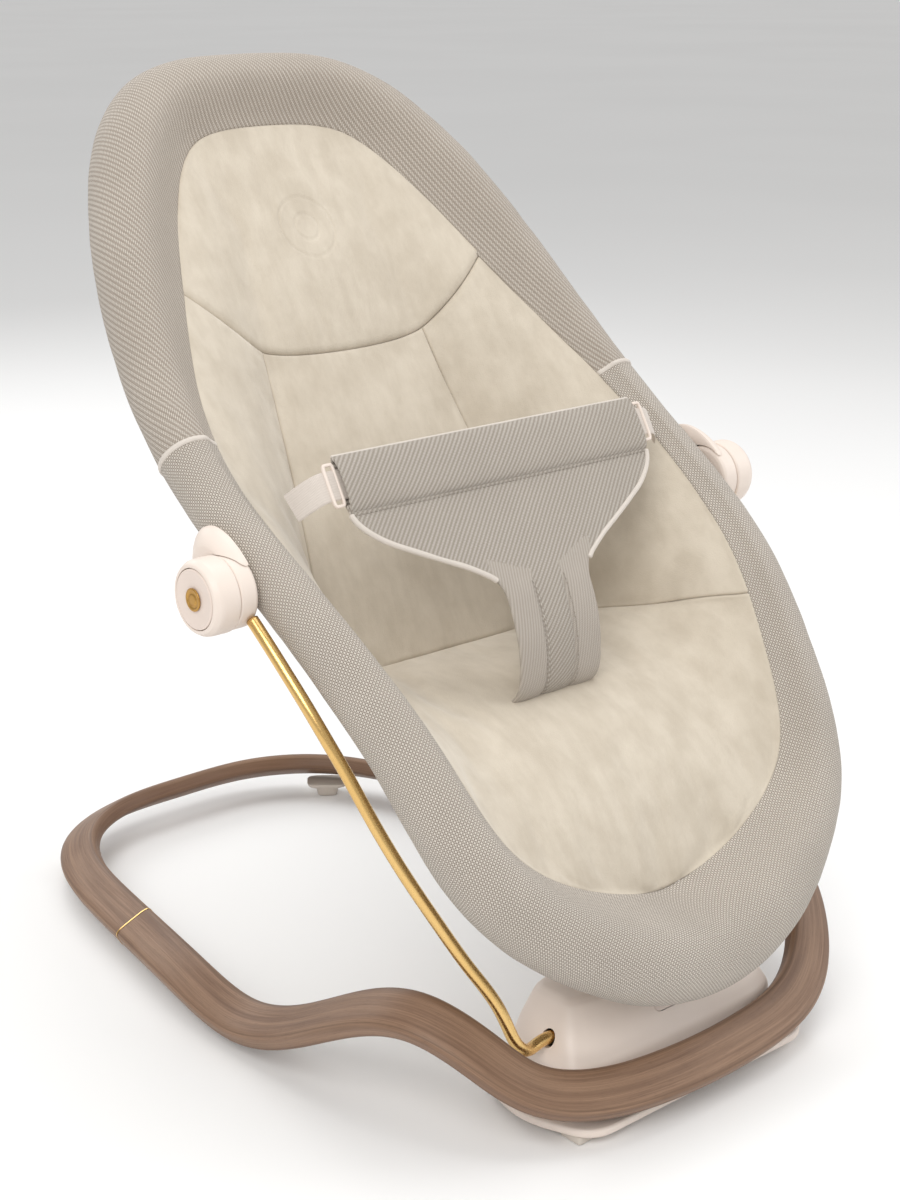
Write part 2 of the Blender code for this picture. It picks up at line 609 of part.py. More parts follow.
# ---------------------------------------------------------------- seat pads and sling
def line_value(points, u):
    """Height on a profile line at distance u, smooth through its points."""
    pts = np.array([(p[0], p[1], 0.0) for p in points])
    n = len(pts)
    x, y = pts[:, 0], pts[:, 1]
    h = np.diff(x)
    a = np.eye(n)
    rhs = np.zeros(n)
    for i in range(1, n - 1):
        a[i, i - 1], a[i, i], a[i, i + 1] = h[i - 1], 2 * (h[i - 1] + h[i]), h[i]
        rhs[i] = 6 * ((y[i + 1] - y[i]) / h[i] - (y[i] - y[i - 1]) / h[i - 1])
    m = np.linalg.solve(a, rhs)
    u = np.clip(u, x[0], x[-1])
    k = np.clip(np.searchsorted(x, u, side="right") - 1, 0, n - 2)
    t0, t1, hk = u - x[k], x[k + 1] - u, h[k]
    return (m[k] * t1 ** 3 + m[k + 1] * t0 ** 3) / (6 * hk) + (y[k] / hk - m[k] * hk / 6) * t1 + (y[k + 1] / hk - m[k + 1] * hk / 6) * t0


_s = np.linspace(0, 1, 161)
_q, _a, _b = rim_frames(_s)
SEAM = _q[:, :3] + _a * _q[:, 4:5] + _b * _q[:, 5:6]
SEAM_X = np.maximum(SEAM[:, 0], 0.0)
SEAM_U = (SEAM - DATUM) @ EU
SEAM_N = (SEAM - DATUM) @ EN
SEAM_X[0] = SEAM_X[-1] = 0.0


def seam_at(t):
    t = np.asarray(t, float)
    return np.stack([np.interp(t, _s, SEAM_X), np.interp(t, _s, SEAM_U)], -1)


def surface_height(x, u):
    """Height of the upholstered surface above the rim plane."""
    x = np.abs(x)
    xs = np.maximum(np.interp(u, SEAM_U, SEAM_X), 0.010)
    ns = np.interp(u, SEAM_U, SEAM_N)
    t = np.clip(x / xs, 0, 1)
    nb = line_value(BACK_LINE, u)
    fold = np.interp(u, [0.146, CREASE_U, 0.5135, 0.70], [CREASE_HALF, CREASE_HALF, 0.076, 0.050])
    f = np.minimum(fold / xs, 0.8)
    s = np.clip((t - f) / (1 - f), 0, 1)
    s = np.sqrt(s * s + 0.0025) - 0.05
    w = np.clip(s * (1 + 0.6 * (1 - s)), 0, 1)
    back = nb + (ns - nb) * w
    nm = line_value(SEAT_LINE, u)
    seat = nm + (ns - nm) * t ** 5
    return np.maximum(back, seat)


S_SIDE, S_LOW, S_TOP = 0.335, 0.125, 0.87


def plan_patch(bottom, top, left, right):
    """Coons patch in plan; each side is a list of points, equal counts on facing sides."""
    nu, nv = len(bottom), len(left)
    out = np.zeros((nv, nu, 2))
    for j in range(nv):
        v = j / (nv - 1)
        for i in range(nu):
            u = i / (nu - 1)
            ruled = (1 - v) * bottom[i] + v * top[i] + (1 - u) * left[j] + u * right[j]
            bil = (1 - u) * (1 - v) * bottom[0] + u * (1 - v) * bottom[-1] + (1 - u) * v * top[0] + u * v * top[-1]
            out[j, i] = ruled - bil
    return out


def crease_line(n, shift=0.0):
    """Plan line between seat and back: straight in the middle, running forward to the rim."""
    end = seam_at([S_SIDE])[0]
    x = np.linspace(-1, 1, n)
    pts = np.array([(-end[0], end[1]), (-CREASE_HALF, CREASE_U), (CREASE_HALF, CREASE_U), (end[0], end[1])])
    d = np.r_[0, np.cumsum(np.linalg.norm(np.diff(pts, axis=0), axis=1))]
    s = (x + 1) / 2 * d[-1]
    # keep the corners of the line on grid columns
    keys = np.array([0, d[1], d[2], d[3]])
    k = max(2, round(n * 0.28))
    s = np.r_[np.linspace(0, keys[1], k), np.linspace(keys[1], keys[2], n - 2 * k + 2)[1:-1], np.linspace(keys[2], keys[3], k)]
    out = np.stack([np.interp(s, d, pts[:, 0]), np.interp(s, d, pts[:, 1])], -1)
    out[:, 1] += shift
    return out


def mirror_x(p):
    return p * np.array((-1.0, 1.0))


COLS, SEAT_ROWS, BACK_ROWS = 13, 7, 11
side_seat = seam_at(np.linspace(S_LOW, S_SIDE, SEAT_ROWS))
side_back = seam_at(np.linspace(S_SIDE, S_TOP, BACK_ROWS))
half_front = seam_at(np.linspace(0, S_LOW, COLS // 2 + 1))
half_top = seam_at(np.linspace(1, S_TOP, COLS // 2 + 1))
front_edge = np.vstack([mirror_x(half_front[::-1]), half_front[1:]])
top_edge = np.vstack([mirror_x(half_top[::-1]), half_top[1:]])
crease = crease_line(COLS)
SEAT_PLAN = plan_patch(front_edge, crease, mirror_x(side_seat), side_seat)
BACK_PLAN = plan_patch(crease, top_edge, mirror_x(side_back), side_back)


def world(x, u, n):
    p = DATUM + EU * u + EN * n
    return at(x, p[1], p[2])


def pad_mesh(name, plan, drop0, drop1, look, inset=0.0005, end_gap=0.0):
    """A pad between two offsets of the upholstered surface."""
    nv, nu = plan.shape[:2]
    mid = plan.reshape(-1, 2).mean(0)
    pts = plan.copy()
    # pull the edges in from the rim
    for j in range(nv):
        for i in range(nu):
            if i in (0, nu - 1) or j == (0 if end_gap >= 0 else nv - 1):
                v = mid - pts[j, i]
                pts[j, i] += v / np.linalg.norm(v) * inset
    if end_gap > 0:
        pts[-1, :, 1] -= end_gap
    elif end_gap < 0:
        pts[0, :, 1] -= end_gap
    bm = bmesh.new()
    layers = []
    for drop in (drop0, drop1):
        n = surface_height(pts[..., 0], pts[..., 1]) - drop
        layers.append([[bm.verts.new(world(pts[j, i, 0], pts[j, i, 1], n[j, i])) for i in range(nu)] for j in range(nv)])
    top, low = layers
    for j in range(nv - 1):
        for i in range(nu - 1):
            for a, b, c in (((j, i), (j, i + 1), (j + 1, i + 1)), ((j, i), (j + 1, i + 1), (j + 1, i))):
                bm.faces.new((top[a[0]][a[1]], top[b[0]][b[1]], top[c[0]][c[1]]))
                bm.faces.new((low[c[0]][c[1]], low[b[0]][b[1]], low[a[0]][a[1]]))
    edge = [(0, i) for i in range(nu)] + [(j, nu - 1) for j in range(1, nv)] + [(nv - 1, i) for i in range(nu - 2, -1, -1)] \
        + [(j, 0) for j in range(nv - 2, 0, -1)]
    for (a, b), (c, d) in zip(edge, edge[1:] + edge[:1]):
        bm.faces.new((top[c][d], top[a][b], low[a][b], low[c][d]))
    bmesh.ops.recalc_face_normals(bm, faces=bm.faces)
    mesh = bpy.data.meshes.new(name)
    bm.to_mesh(mesh)
    bm.free()
    obj = bpy.data.objects.new(name, mesh)
    PARTS.objects.link(obj)
    return finish(obj, look, 60)


pad_seat = pad_mesh("pad_seat", SEAT_PLAN, 0.0, PAD_THICK, "velour", inset=0.0020, end_gap=0.0005)
pad_back = pad_mesh("pad_backrest", BACK_PLAN, 0.0, PAD_THICK, "velour", inset=0.0010, end_gap=-0.0005)
sling_plan = np.vstack([SEAT_PLAN, BACK_PLAN[1:]])
sling = pad_mesh("sling_cover", sling_plan, PAD_THICK + SLING_GAP, PAD_THICK + SLING_GAP + SLING_THICK, "mesh_fabric", inset=0.0020)

# ---------------------------------------------------------------- harness
def harness_mesh():
    prof = np.array(HARNESS_LINE)
    s = np.r_[np.linspace(0, 0.0425, 4), np.linspace(0.0425, 0.125, 9)[1:], np.linspace(0.125, prof[-1, 0], 10)[1:]]
    y = line_value([(p[0], p[1]) for p in HARNESS_LINE], s)
    z = line_value([(p[0], p[2]) for p in HARNESS_LINE], s)
    half = np.interp(s, [p[0] for p in HARNESS_HALF], [p[1] for p in HARNESS_HALF])
    ty, tz = np.gradient(y, s), np.gradient(z, s)
    length = np.hypot(ty, tz)
    ny, nz = tz / length, -ty / length           # front side of the sheet
    rows = []
    cols = np.linspace(-1, 1, 9)
    for k in range(len(s)):
        front = [at(c * half[k], y[k] + ny[k] * HARNESS_THICK / 2, z[k] + nz[k] * HARNESS_THICK / 2) for c in cols]
        back = [at(c * half[k], y[k] - ny[k] * HARNESS_THICK / 2, z[k] - nz[k] * HARNESS_THICK / 2) for c in cols[::-1]]
        rows.append(front + back)
    return loop_mesh("harness_panel", rows)


finish(harness_mesh(), "belt_fabric", 50)
strap_slot = box("strap_slot", at(0, -0.2235, 0.2560), (0.0880, 0.0100, 0.0300), None, 0, 1, Matrix.Rotation(math.radians(44), 3, "X"))
cut(pad_seat, strap_slot)

for tag, sg in SIDES:
    # webbing from the belt's end, through the adjuster, down to the seam of the rim
    wpts = np.array([(0.1470, -0.1720, 0.4310), (0.1515, -0.1720, 0.4310), (0.1565, -0.1719, 0.4309), (0.1610, -0.1708, 0.4298),
                     (0.1660, -0.1685, 0.4272), (0.1705, -0.1650, 0.4235), (0.1740, -0.1615, 0.4198)])
    rows = []
    for k, p in enumerate(wpts):
        a = wpts[min(k + 1, len(wpts) - 1)] - wpts[max(k - 1, 0)]
        a /= np.linalg.norm(a)
        across = np.array((0.0, 0.49, 0.87))
        across -= a * (a @ across)
        across /= np.linalg.norm(across)
        nrm = np.cross(a, across)
        ring = []
        for c, d in ((-1, -1), (1, -1), (1, 1), (-1, 1)):
            v = p + across * c * 0.0105 + nrm * d * 0.0007
            ring.append(at(sg * v[0], v[1], v[2]))
        rows.append(ring)
    finish(loop_mesh("webbing_" + tag, rows), "webbing", 0)
    rotb = Matrix.Rotation(math.radians(-30), 3, "X")
    buckle = box("adjuster_" + tag, at(sg * 0.1516, -0.1720, 0.4310), (0.0080, 0.0046, 0.0330), "cream_plastic", 0.0012, 2, rotb)
    cut(buckle, box("adjuster_slot_" + tag, at(sg * 0.1516, -0.1720, 0.4310), (0.0300, 0.0024, 0.0236), None, 0, 1, rotb))

# ---------------------------------------------------------------- recline hubs
rim_up = np.array((0.0, 0.0610, 0.0560)) / math.hypot(0.0610, 0.0560)
for tag, sg in SIDES:
    housing = turned("hub_housing_" + tag, [(0.2450, 0.0043), (0.2415, 0.0043), (0.2415, 0.0172), (0.2450, 0.0172), (0.2450, 0.0250),
                                            (0.2440, 0.0258), (0.2330, 0.0256), (0.2310, 0.0246), (0.2305, 0.0225), (0.2305, 0.0043)][1:],
                     "cream_plastic", sg)
    turned("hub_cap_" + tag, [(0.2655, 0.0214), (0.2655, 0.0224), (0.2645, 0.0240), (0.2610, 0.0262), (0.2585, 0.0266),
                              (0.2465, 0.0266), (0.2455, 0.0256), (0.2455, 0.0178), (0.2475, 0.0178), (0.2475, 0.0214)],
           "cream_plastic", sg)
    turned("recline_button_" + tag, [(0.2660, 0.0), (0.2660, 0.0196), (0.2652, 0.0208), (0.2615, 0.0208), (0.2605, 0.0200),
                                     (0.2605, 0.0085), (0.2530, 0.0085), (0.2530, 0.0)], "cream_plastic", sg)
    turned("button_mark_" + tag, [(0.2670, 0.0), (0.2670, 0.0075), (0.2667, 0.0080), (0.2663, 0.0080), (0.2663, 0.0)], "gold", sg, 20)
    # lock gear: a toothed ring behind the button
    gear = []
    for x in (0.2485, 0.2524):
        gear.append([at(sg * x, HUB_Y + r * math.cos(a), HUB_Z + r * math.sin(a))
                     for a, r in ((math.tau * k / 32, 0.0165 if (k // 2) % 2 else 0.0148) for k in range(32))])
    hole = [[at(sg * x, HUB_Y + 0.0046 * math.cos(math.tau * k / 32), HUB_Z + 0.0046 * math.sin(math.tau * k / 32)) for k in range(32)]
            for x in (0.2485, 0.2524)]
    finish(loop_mesh("lock_gear_" + tag, gear, inner=hole), "acetal", 30)
    rod("hub_pin_" + tag, at(sg * 0.2310, HUB_Y, HUB_Z), at(sg * 0.2486, HUB_Y, HUB_Z), 0.0040, "steel", 16)
    spring = [at(sg * (0.2424 + 0.0053 * k / 22), HUB_Y + 0.0105 * math.cos(math.tau * 2.5 * k / 22),
                 HUB_Z + 0.0105 * math.sin(math.tau * 2.5 * k / 22)) for k in range(23)]
    tube("button_spring_" + tag, spring, 0.0006, 2, "steel")
    # socket for the leg tube's upper end
    e0, e1 = Vector(at(sg * leg_pts[0][0], leg_pts[0][1], leg_pts[0][2])), Vector(at(sg * leg_pts[3][0], leg_pts[3][1], leg_pts[3][2]))
    d = (e1 - e0).normalized()
    cut(housing, rod("leg_socket_" + tag, e0 - d * 0.0004, e0 + d * 0.0300, LEG_R + 0.0004, None, 20))
    # bracket that joins the cap to the rim above the hub
    rings = []
    for x, grow, reach in ((0.2310, 0.0000, 0.0500), (0.2400, -0.0030, 0.0430), (0.2450, -0.0060, 0.0360)):
        ring = []
        across = np.cross((1.0, 0, 0), rim_up)
        for k in range(20):
            t = k / 19
            # outer boundary: a rounded nose pointing up the rim
            a = math.pi * (t * 1.3 - 0.15)
            r_in = 0.0268
            w = (0.0268 + grow) * math.cos(a)
            l = r_in * 0.2 + (reach - r_in * 0.2) * max(math.sin(a), -0.2) ** 1 if math.sin(a) > 0 else r_in * 0.2 + (reach) * math.sin(a) * 0.3
            c = np.array((x, HUB_Y, HUB_Z)) + rim_up * l + across * w
            ring.append(at(sg * c[0], c[1], c[2]))
        rings.append(ring)
    bracket = finish(loop_mesh("hub_bracket_" + tag, rings), "cream_plastic", 40)
    cut(bracket, rod("bracket_bore_" + tag, at(sg * 0.220, HUB_Y, HUB_Z), at(sg * 0.270, HUB_Y, HUB_Z), 0.0264, None, 32))
    # screw through bracket and cover into the hoop
    row = rim_data([0.498])[0]
    sy, sz = row[1], row[2]
    rod("bracket_screw_" + tag, at(sg * (row[0] - 0.006), sy, sz), at(sg * 0.2395, sy, sz), 0.0020, "steel", 12)
    bore = rod("screw_bore_" + tag, at(sg * (row[0] - 0.0066), sy, sz), at(sg * 0.2600, sy, sz), 0.0024, None, 12)
    for name in ("hub_bracket_" + tag, "rim_cover_lower", "seat_hoop_tube"):
        cut(bpy.data.objects[name], bore)


# ---------------------------------------------------------------- joint axes
def pivot(name, place, under=None):
    """An empty on a joint's axis, which carries the pieces that move about it."""
    empty = bpy.data.objects.new(name, None)
    empty.empty_display_size = 0.03
    PARTS.objects.link(empty)
    empty.location = place
    if under:
        empty.parent = under
        empty.location = place - at(0, 0, 0) - (under.matrix_world.translation - at(0, 0, 0))
    bpy.context.view_layer.update()
    return empty


def carry(empty, names):
    for name in names:
        obj = bpy.data.objects[name]
        obj.parent = empty
        obj.matrix_parent_inverse = empty.matrix_world.inverted()


def both(*stems):
    return [stem + "_" + tag for stem in stems for tag, _ in SIDES]


bounce_pivot = pivot("bounce_pivot", at(0, AXLE_Y, AXLE_Z))
recline_pivot = pivot("recline_pivot", at(0, HUB_Y, HUB_Z), bounce_pivot)
carry(bounce_pivot, ["bounce_axle"] + both("leg_tube", "hub_housing", "hub_pin", "button_spring"))
carry(recline_pivot, ["seat_hoop_tube", "rim_cover_lower", "rim_cover_upper", "pad_seat", "pad_backrest", "sling_cover", "harness_panel"]
      + both("rim_piping", "webbing", "adjuster", "hub_cap", "hub_bracket", "bracket_screw"))
for tag, sg in SIDES:
    press = pivot("button_axis_" + tag, at(sg * 0.2605, HUB_Y, HUB_Z), recline_pivot)
    carry(press, ["recline_button_" + tag, "button_mark_" + tag, "lock_gear_" + tag])
carry(pivot("latch_axis", plate_c), ["front_latch"])
bpy.context.view_layer.update()
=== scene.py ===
"""Looks of the infant bouncer seat: fabric covers, quilted pads, harness, wood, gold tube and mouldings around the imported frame."""
import math

import bmesh
import bpy
import numpy as np
from mathutils import Matrix, Vector, noise


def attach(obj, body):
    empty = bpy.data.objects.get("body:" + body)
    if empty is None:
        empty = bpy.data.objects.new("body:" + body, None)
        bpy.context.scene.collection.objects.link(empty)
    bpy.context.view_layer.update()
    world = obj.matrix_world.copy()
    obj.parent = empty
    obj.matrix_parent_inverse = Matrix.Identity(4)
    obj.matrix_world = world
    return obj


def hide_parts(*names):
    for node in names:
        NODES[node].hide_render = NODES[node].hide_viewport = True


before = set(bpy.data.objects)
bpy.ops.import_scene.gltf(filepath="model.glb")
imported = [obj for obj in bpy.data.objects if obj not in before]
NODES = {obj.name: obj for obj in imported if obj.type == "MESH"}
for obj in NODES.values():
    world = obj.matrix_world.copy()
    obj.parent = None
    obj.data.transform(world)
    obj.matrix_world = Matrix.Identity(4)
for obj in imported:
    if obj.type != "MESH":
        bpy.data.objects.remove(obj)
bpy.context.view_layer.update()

scene = bpy.context.scene
scene.view_settings.view_transform = "Standard"
scene.view_settings.look = "None"
SIDES = (("left", -1), ("right", 1))

# ================================================================= design numbers, as in the CAD
ORIGIN_Y = 0.0701
RING_PATH = [(0.000, 0.262, 0.029), (0.069, 0.257, 0.029), (0.130, 0.223, 0.029),
             (0.167, 0.161, 0.029), (0.184, 0.089, 0.029), (0.196, 0.016, 0.029),
             (0.207, -0.055, 0.028), (0.2085, -0.125, 0.022), (0.206, -0.188, 0.042),
             (0.202, -0.246, 0.074), (0.190, -0.306, 0.092), (0.170, -0.343, 0.074),
             (0.143, -0.369, 0.048), (0.100, -0.389, 0.036), (0.050, -0.398, 0.033),
             (0.000, -0.400, 0.032)]
RING_WIDTH, RING_THICK = 0.0345, 0.0160
RING_TILT_DEG = [(0.0, 33.0), (0.3, 28.0), (0.65, 28.0), (1.0, 38.0)]
RING_JOINT_Y, INLAY_LEN, GAP = 0.0450, 0.0014, 0.0003
RIM = [(0.000, -0.3875, 0.110, 0.0310, 0.0500, 0.000), (0.055, -0.3855, 0.121, 0.0310, 0.0480, 0.001),
       (0.107, -0.3730, 0.146, 0.0290, 0.0400, 0.003), (0.159, -0.3450, 0.194, 0.0270, 0.0280, 0.006),
       (0.183, -0.2950, 0.268, 0.0250, 0.0210, 0.009), (0.197, -0.2430, 0.326, 0.0230, 0.0170, 0.011),
       (0.206, -0.1780, 0.375, 0.0210, 0.0150, 0.0125), (0.209, -0.1110, 0.420, 0.0210, 0.0155, 0.0125),
       (0.203, -0.0430, 0.477, 0.0220, 0.0260, 0.009), (0.183, 0.0170, 0.541, 0.0260, 0.0370, 0.005),
       (0.148, 0.0750, 0.609, 0.0290, 0.0390, 0.003), (0.090, 0.1200, 0.659, 0.0315, 0.0370, 0.003),
       (0.000, 0.1300, 0.670, 0.0310, 0.0350, 0.003)]
RIM_TILT_DEG = 46.0
RIM_DATUM = (-0.375, 0.135)
RIM_SEAM_T = 0.575
BACK_LINE = [(0.05, -0.1430), (0.272, -0.0920), (0.345, -0.0700), (0.4365, -0.0470), (0.5135, -0.0290), (0.611, -0.0070),
             (0.660, 0.0020), (0.701, 0.0115)]
SEAT_LINE = [(0.0240, -0.0084), (0.060, 0.0060), (0.100, 0.0130), (0.140, 0.0085), (0.170, -0.0030),
             (0.192, -0.0170), (0.272, -0.0920), (0.340, -0.1600)]
CREASE_HALF, CREASE_U = 0.118, 0.272
PAD_THICK, SLING_THICK, SLING_GAP = 0.0120, 0.0030, 0.0012
HUB_Y, HUB_Z = -0.167, 0.372
LEG_R = 0.0045
AXLE_Y, AXLE_Z = -0.3390, 0.0575
LEG_PATH = [(0.2350, -0.1895, 0.3570), (0.2340, -0.2020, 0.3460), (0.2315, -0.2210, 0.3270), (0.2280, -0.2380, 0.3075),
            (0.2225, -0.2520, 0.2860), (0.2150, -0.2620, 0.2640), (0.2060, -0.2740, 0.2360), (0.1900, -0.2950, 0.1910),
            (0.1740, -0.3080, 0.1570), (0.1570, -0.3215, 0.1230), (0.1430, -0.3325, 0.0960), (0.1370, -0.3380, 0.0780),
            (0.1310, -0.3415, 0.0640), (0.1230, -0.3415, 0.0578), (0.1150, -0.3398, 0.0568), (0.1090, -0.3390, 0.0575),
            (0.0900, -0.3390, 0.0575), (0.0700, -0.3390, 0.0575)]
TRAY_Z0, TRAY_Z1 = 0.0062, 0.0130
HARNESS_LINE = [(0.0000, -0.1620, 0.4490), (0.0425, -0.1830, 0.4120), (0.0770, -0.2030, 0.3840), (0.1107, -0.2220, 0.3560),
                (0.1350, -0.2330, 0.3340), (0.1555, -0.2400, 0.3140), (0.1810, -0.2430, 0.2890), (0.2020, -0.2400, 0.2700),
                (0.2130, -0.2330, 0.2620), (0.2220, -0.2245, 0.2565)]
HARNESS_HALF = [(0.0, 0.146), (0.046, 0.146), (0.056, 0.140), (0.0685, 0.126), (0.0838, 0.098), (0.1000, 0.066),
                (0.1130, 0.046), (0.1250, 0.0410), (0.2220, 0.0405)]
S_SIDE = 0.335
# sewn seams of the backrest, in the plan of the rim plane
HEAD_SEAM = [(0.000, 0.5105), (0.040, 0.5118), (0.066, 0.5150), (0.086, 0.5205), (0.104, 0.5290), (0.124, 0.5415), (0.1475, 0.5600)]
SIDE_SEAM = [(0.118, 0.272), (0.1085, 0.318), (0.1010, 0.360), (0.0945, 0.400), (0.0888, 0.440), (0.0835, 0.480), (0.0795, 0.5180)]
EMBLEM = (0.000, 0.6110, 0.0252)     # x, u, radius of the pressed ring


# ================================================================= rules repeated from the CAD
def at(p):
    """Points from the designer's datum, in the row frame."""
    p = np.array(p, float)
    p[..., 1] += ORIGIN_Y
    return p


def spline(points, where=None, count=None):
    pts = np.array(points, float)
    d = np.r_[0.0, np.cumsum(np.linalg.norm(np.diff(pts[:, :3], axis=0), axis=1))]
    n = len(d)
    h = np.diff(d)
    a = np.eye(n)
    rhs = np.zeros_like(pts)
    for i in range(1, n - 1):
        a[i, i - 1], a[i, i], a[i, i + 1] = h[i - 1], 2 * (h[i - 1] + h[i]), h[i]
        rhs[i] = 6 * ((pts[i + 1] - pts[i]) / h[i] - (pts[i] - pts[i - 1]) / h[i - 1])
    m = np.linalg.solve(a, rhs)
    s = np.linspace(0, d[-1], count) if where is None else np.asarray(where, float)
    k = np.clip(np.searchsorted(d, s, side="right") - 1, 0, n - 2)
    t0, t1, hk = (s - d[k])[:, None], (d[k + 1] - s)[:, None], h[k][:, None]
    return (m[k] * t1 ** 3 + m[k + 1] * t0 ** 3) / (6 * hk) + (pts[k] / hk - m[k] * hk / 6) * t1 \
        + (pts[k + 1] / hk - m[k + 1] * hk / 6) * t0, d


def mirrored_half(points, s):
    half = np.array(points, float)
    flip = np.ones(half.shape[1])
    flip[0] = -1.0
    full = np.vstack([half[::-1][:-1] * flip, half, half[::-1][1:] * flip])
    d = np.r_[0.0, np.cumsum(np.linalg.norm(np.diff(full[:, :3], axis=0), axis=1))]
    n = len(half)
    lo, hi = d[n - 1], d[2 * n - 2]
    s = np.asarray(s, float)
    out, _ = spline(full, where=lo + np.abs(s) * (hi - lo))
    out[s < 0, 0] *= -1.0
    return out


def direction(fn, s, step=0.002):
    t = fn(np.asarray(s) + step) - fn(np.asarray(s) - step)
    return t / np.linalg.norm(t, axis=1)[:, None]


TH = math.radians(RIM_TILT_DEG)
EU = np.array((0.0, math.cos(TH), math.sin(TH)))
EN = np.array((0.0, -math.sin(TH), math.cos(TH)))
DATUM = np.array((0.0, RIM_DATUM[0], RIM_DATUM[1]))


def rim_data(s):
    return mirrored_half(RIM, s)


def rim_frames(s):
    s = np.asarray(s, float)
    q = rim_data(s)
    lo = rim_data(s - 0.003)[:, :3]
    hi = rim_data(s + 0.003)[:, :3]
    t = hi - lo
    over = np.abs(s) + 0.003 > 1.0
    t[over] = np.array((-1.0, 0.0, 0.0)) * np.sign(s[over])[:, None]
    t /= np.linalg.norm(t, axis=1)[:, None]
    inward = np.cross(EN[None, :], t)
    inward /= np.linalg.norm(inward, axis=1)[:, None]
    middle = DATUM + EU * 0.36
    inward *= np.sign(np.einsum("ij,ij->i", inward, middle - q[:, :3]))[:, None]
    upward = np.cross(t, inward)
    upward *= np.sign(upward @ EN)[:, None]
    return q, inward, upward


def line_value(points, u):
    pts = np.array([(p[0], p[1], 0.0) for p in points])
    n = len(pts)
    x, y = pts[:, 0], pts[:, 1]
    h = np.diff(x)
    a = np.eye(n)
    rhs = np.zeros(n)
    for i in range(1, n - 1):
        a[i, i - 1], a[i, i], a[i, i + 1] = h[i - 1], 2 * (h[i - 1] + h[i]), h[i]
        rhs[i] = 6 * ((y[i + 1] - y[i]) / h[i] - (y[i] - y[i - 1]) / h[i - 1])
    m = np.linalg.solve(a, rhs)
    u = np.clip(u, x[0], x[-1])
    k = np.clip(np.searchsorted(x, u, side="right") - 1, 0, n - 2)
    t0, t1, hk = u - x[k], x[k + 1] - u, h[k]
    return (m[k] * t1 ** 3 + m[k + 1] * t0 ** 3) / (6 * hk) + (y[k] / hk - m[k] * hk / 6) * t1 + (y[k + 1] / hk - m[k + 1] * hk / 6) * t0


_s = np.linspace(0, 1, 401)
_q, _a, _b = rim_frames(_s)
SEAM = _q[:, :3] + _a * _q[:, 4:5] + _b * _q[:, 5:6]
SEAM_X = np.maximum(SEAM[:, 0], 0.0)
SEAM_U = (SEAM - DATUM) @ EU
SEAM_N = (SEAM - DATUM) @ EN
SEAM_X[0] = SEAM_X[-1] = 0.0


def seam_at(t):
    t = np.asarray(t, float)
    return np.stack([np.interp(t, _s, SEAM_X), np.interp(t, _s, SEAM_U)], -1)


def surface_height(x, u, part="both"):
    x = np.abs(x)
    xs = np.maximum(np.interp(u, SEAM_U, SEAM_X), 0.010)
    ns = np.interp(u, SEAM_U, SEAM_N)
    t = np.clip(x / xs, 0, 1)
    nb = line_value(BACK_LINE, u)
    fold = np.interp(u, [0.146, CREASE_U, 0.5135, 0.70], [CREASE_HALF, CREASE_HALF, 0.076, 0.050])
    f = np.minimum(fold / xs, 0.8)
    s = np.clip((t - f) / (1 - f), 0, 1)
    s = np.sqrt(s * s + 0.0025) - 0.05
    w = np.clip(s * (1 + 0.6 * (1 - s)), 0, 1)
    back = nb + (ns - nb) * w
    nm = line_value(SEAT_LINE, u)
    seat = nm + (ns - nm) * t ** 5
    return np.maximum(back, seat)


def plan_to_world(q):
    """(x, u, n) in the rim plane's axes to the row frame."""
    q = np.asarray(q, float)
    p = DATUM + q[..., 1:2] * EU + q[..., 2:3] * EN
    p[..., 0] = q[..., 0]
    return at(p)


def surface_normal(x, u, e=0.0015):
    hx = (surface_height(x + e, u) - surface_height(x - e, u)) / (2 * e)
    hu = (surface_height(x, u + e) - surface_height(x, u - e)) / (2 * e)
    n = np.stack([-hx, -hu, np.ones_like(hx)], -1)
    return n / np.linalg.norm(n, axis=-1, keepdims=True)


# ================================================================= mesh builders
def link(ob):
    scene.collection.objects.link(ob)
    return ob


def grid(name, P, mat, wrap_i=False, wrap_j=False, uv=None, caps=False, smooth=True, sharp=None, extra=None):
    """A mesh from rows of points. uv has one more row or column where the grid wraps. extra is {attribute: values per point}."""
    P = np.asarray(P, float)
    nj, ni = P.shape[:2]
    J, I = np.meshgrid(np.arange(nj if wrap_j else nj - 1), np.arange(ni if wrap_i else ni - 1), indexing="ij")
    J, I = J.ravel(), I.ravel()
    J1, I1 = (J + 1) % nj, (I + 1) % ni
    quads = np.stack([J * ni + I, J * ni + I1, J1 * ni + I1, J1 * ni + I], -1)
    faces = [tuple(q) for q in quads.tolist()]
    if caps and not wrap_j:
        faces.append(tuple(range(ni))[::-1])
        faces.append(tuple(range((nj - 1) * ni, nj * ni)))
    me = bpy.data.meshes.new(name)
    me.from_pydata([tuple(v) for v in P.reshape(-1, 3).tolist()], [], faces)
    if uv is not None:
        uv = np.asarray(uv, float)
        loops = np.stack([uv[J, I], uv[J, I + 1], uv[J + 1, I + 1], uv[J + 1, I]], 1).reshape(-1, 2)
        if caps and not wrap_j:
            loops = np.vstack([loops, uv[0, :ni][::-1], uv[-1, :ni]])
        me.uv_layers.new(name="weave").data.foreach_set("uv", loops.astype(np.float32).ravel())
    for key, values in (extra or {}).items():
        me.attributes.new(key, "FLOAT", "POINT").data.foreach_set("value", np.asarray(values, np.float32).ravel())
    return dress(name, me, mat, smooth, sharp)


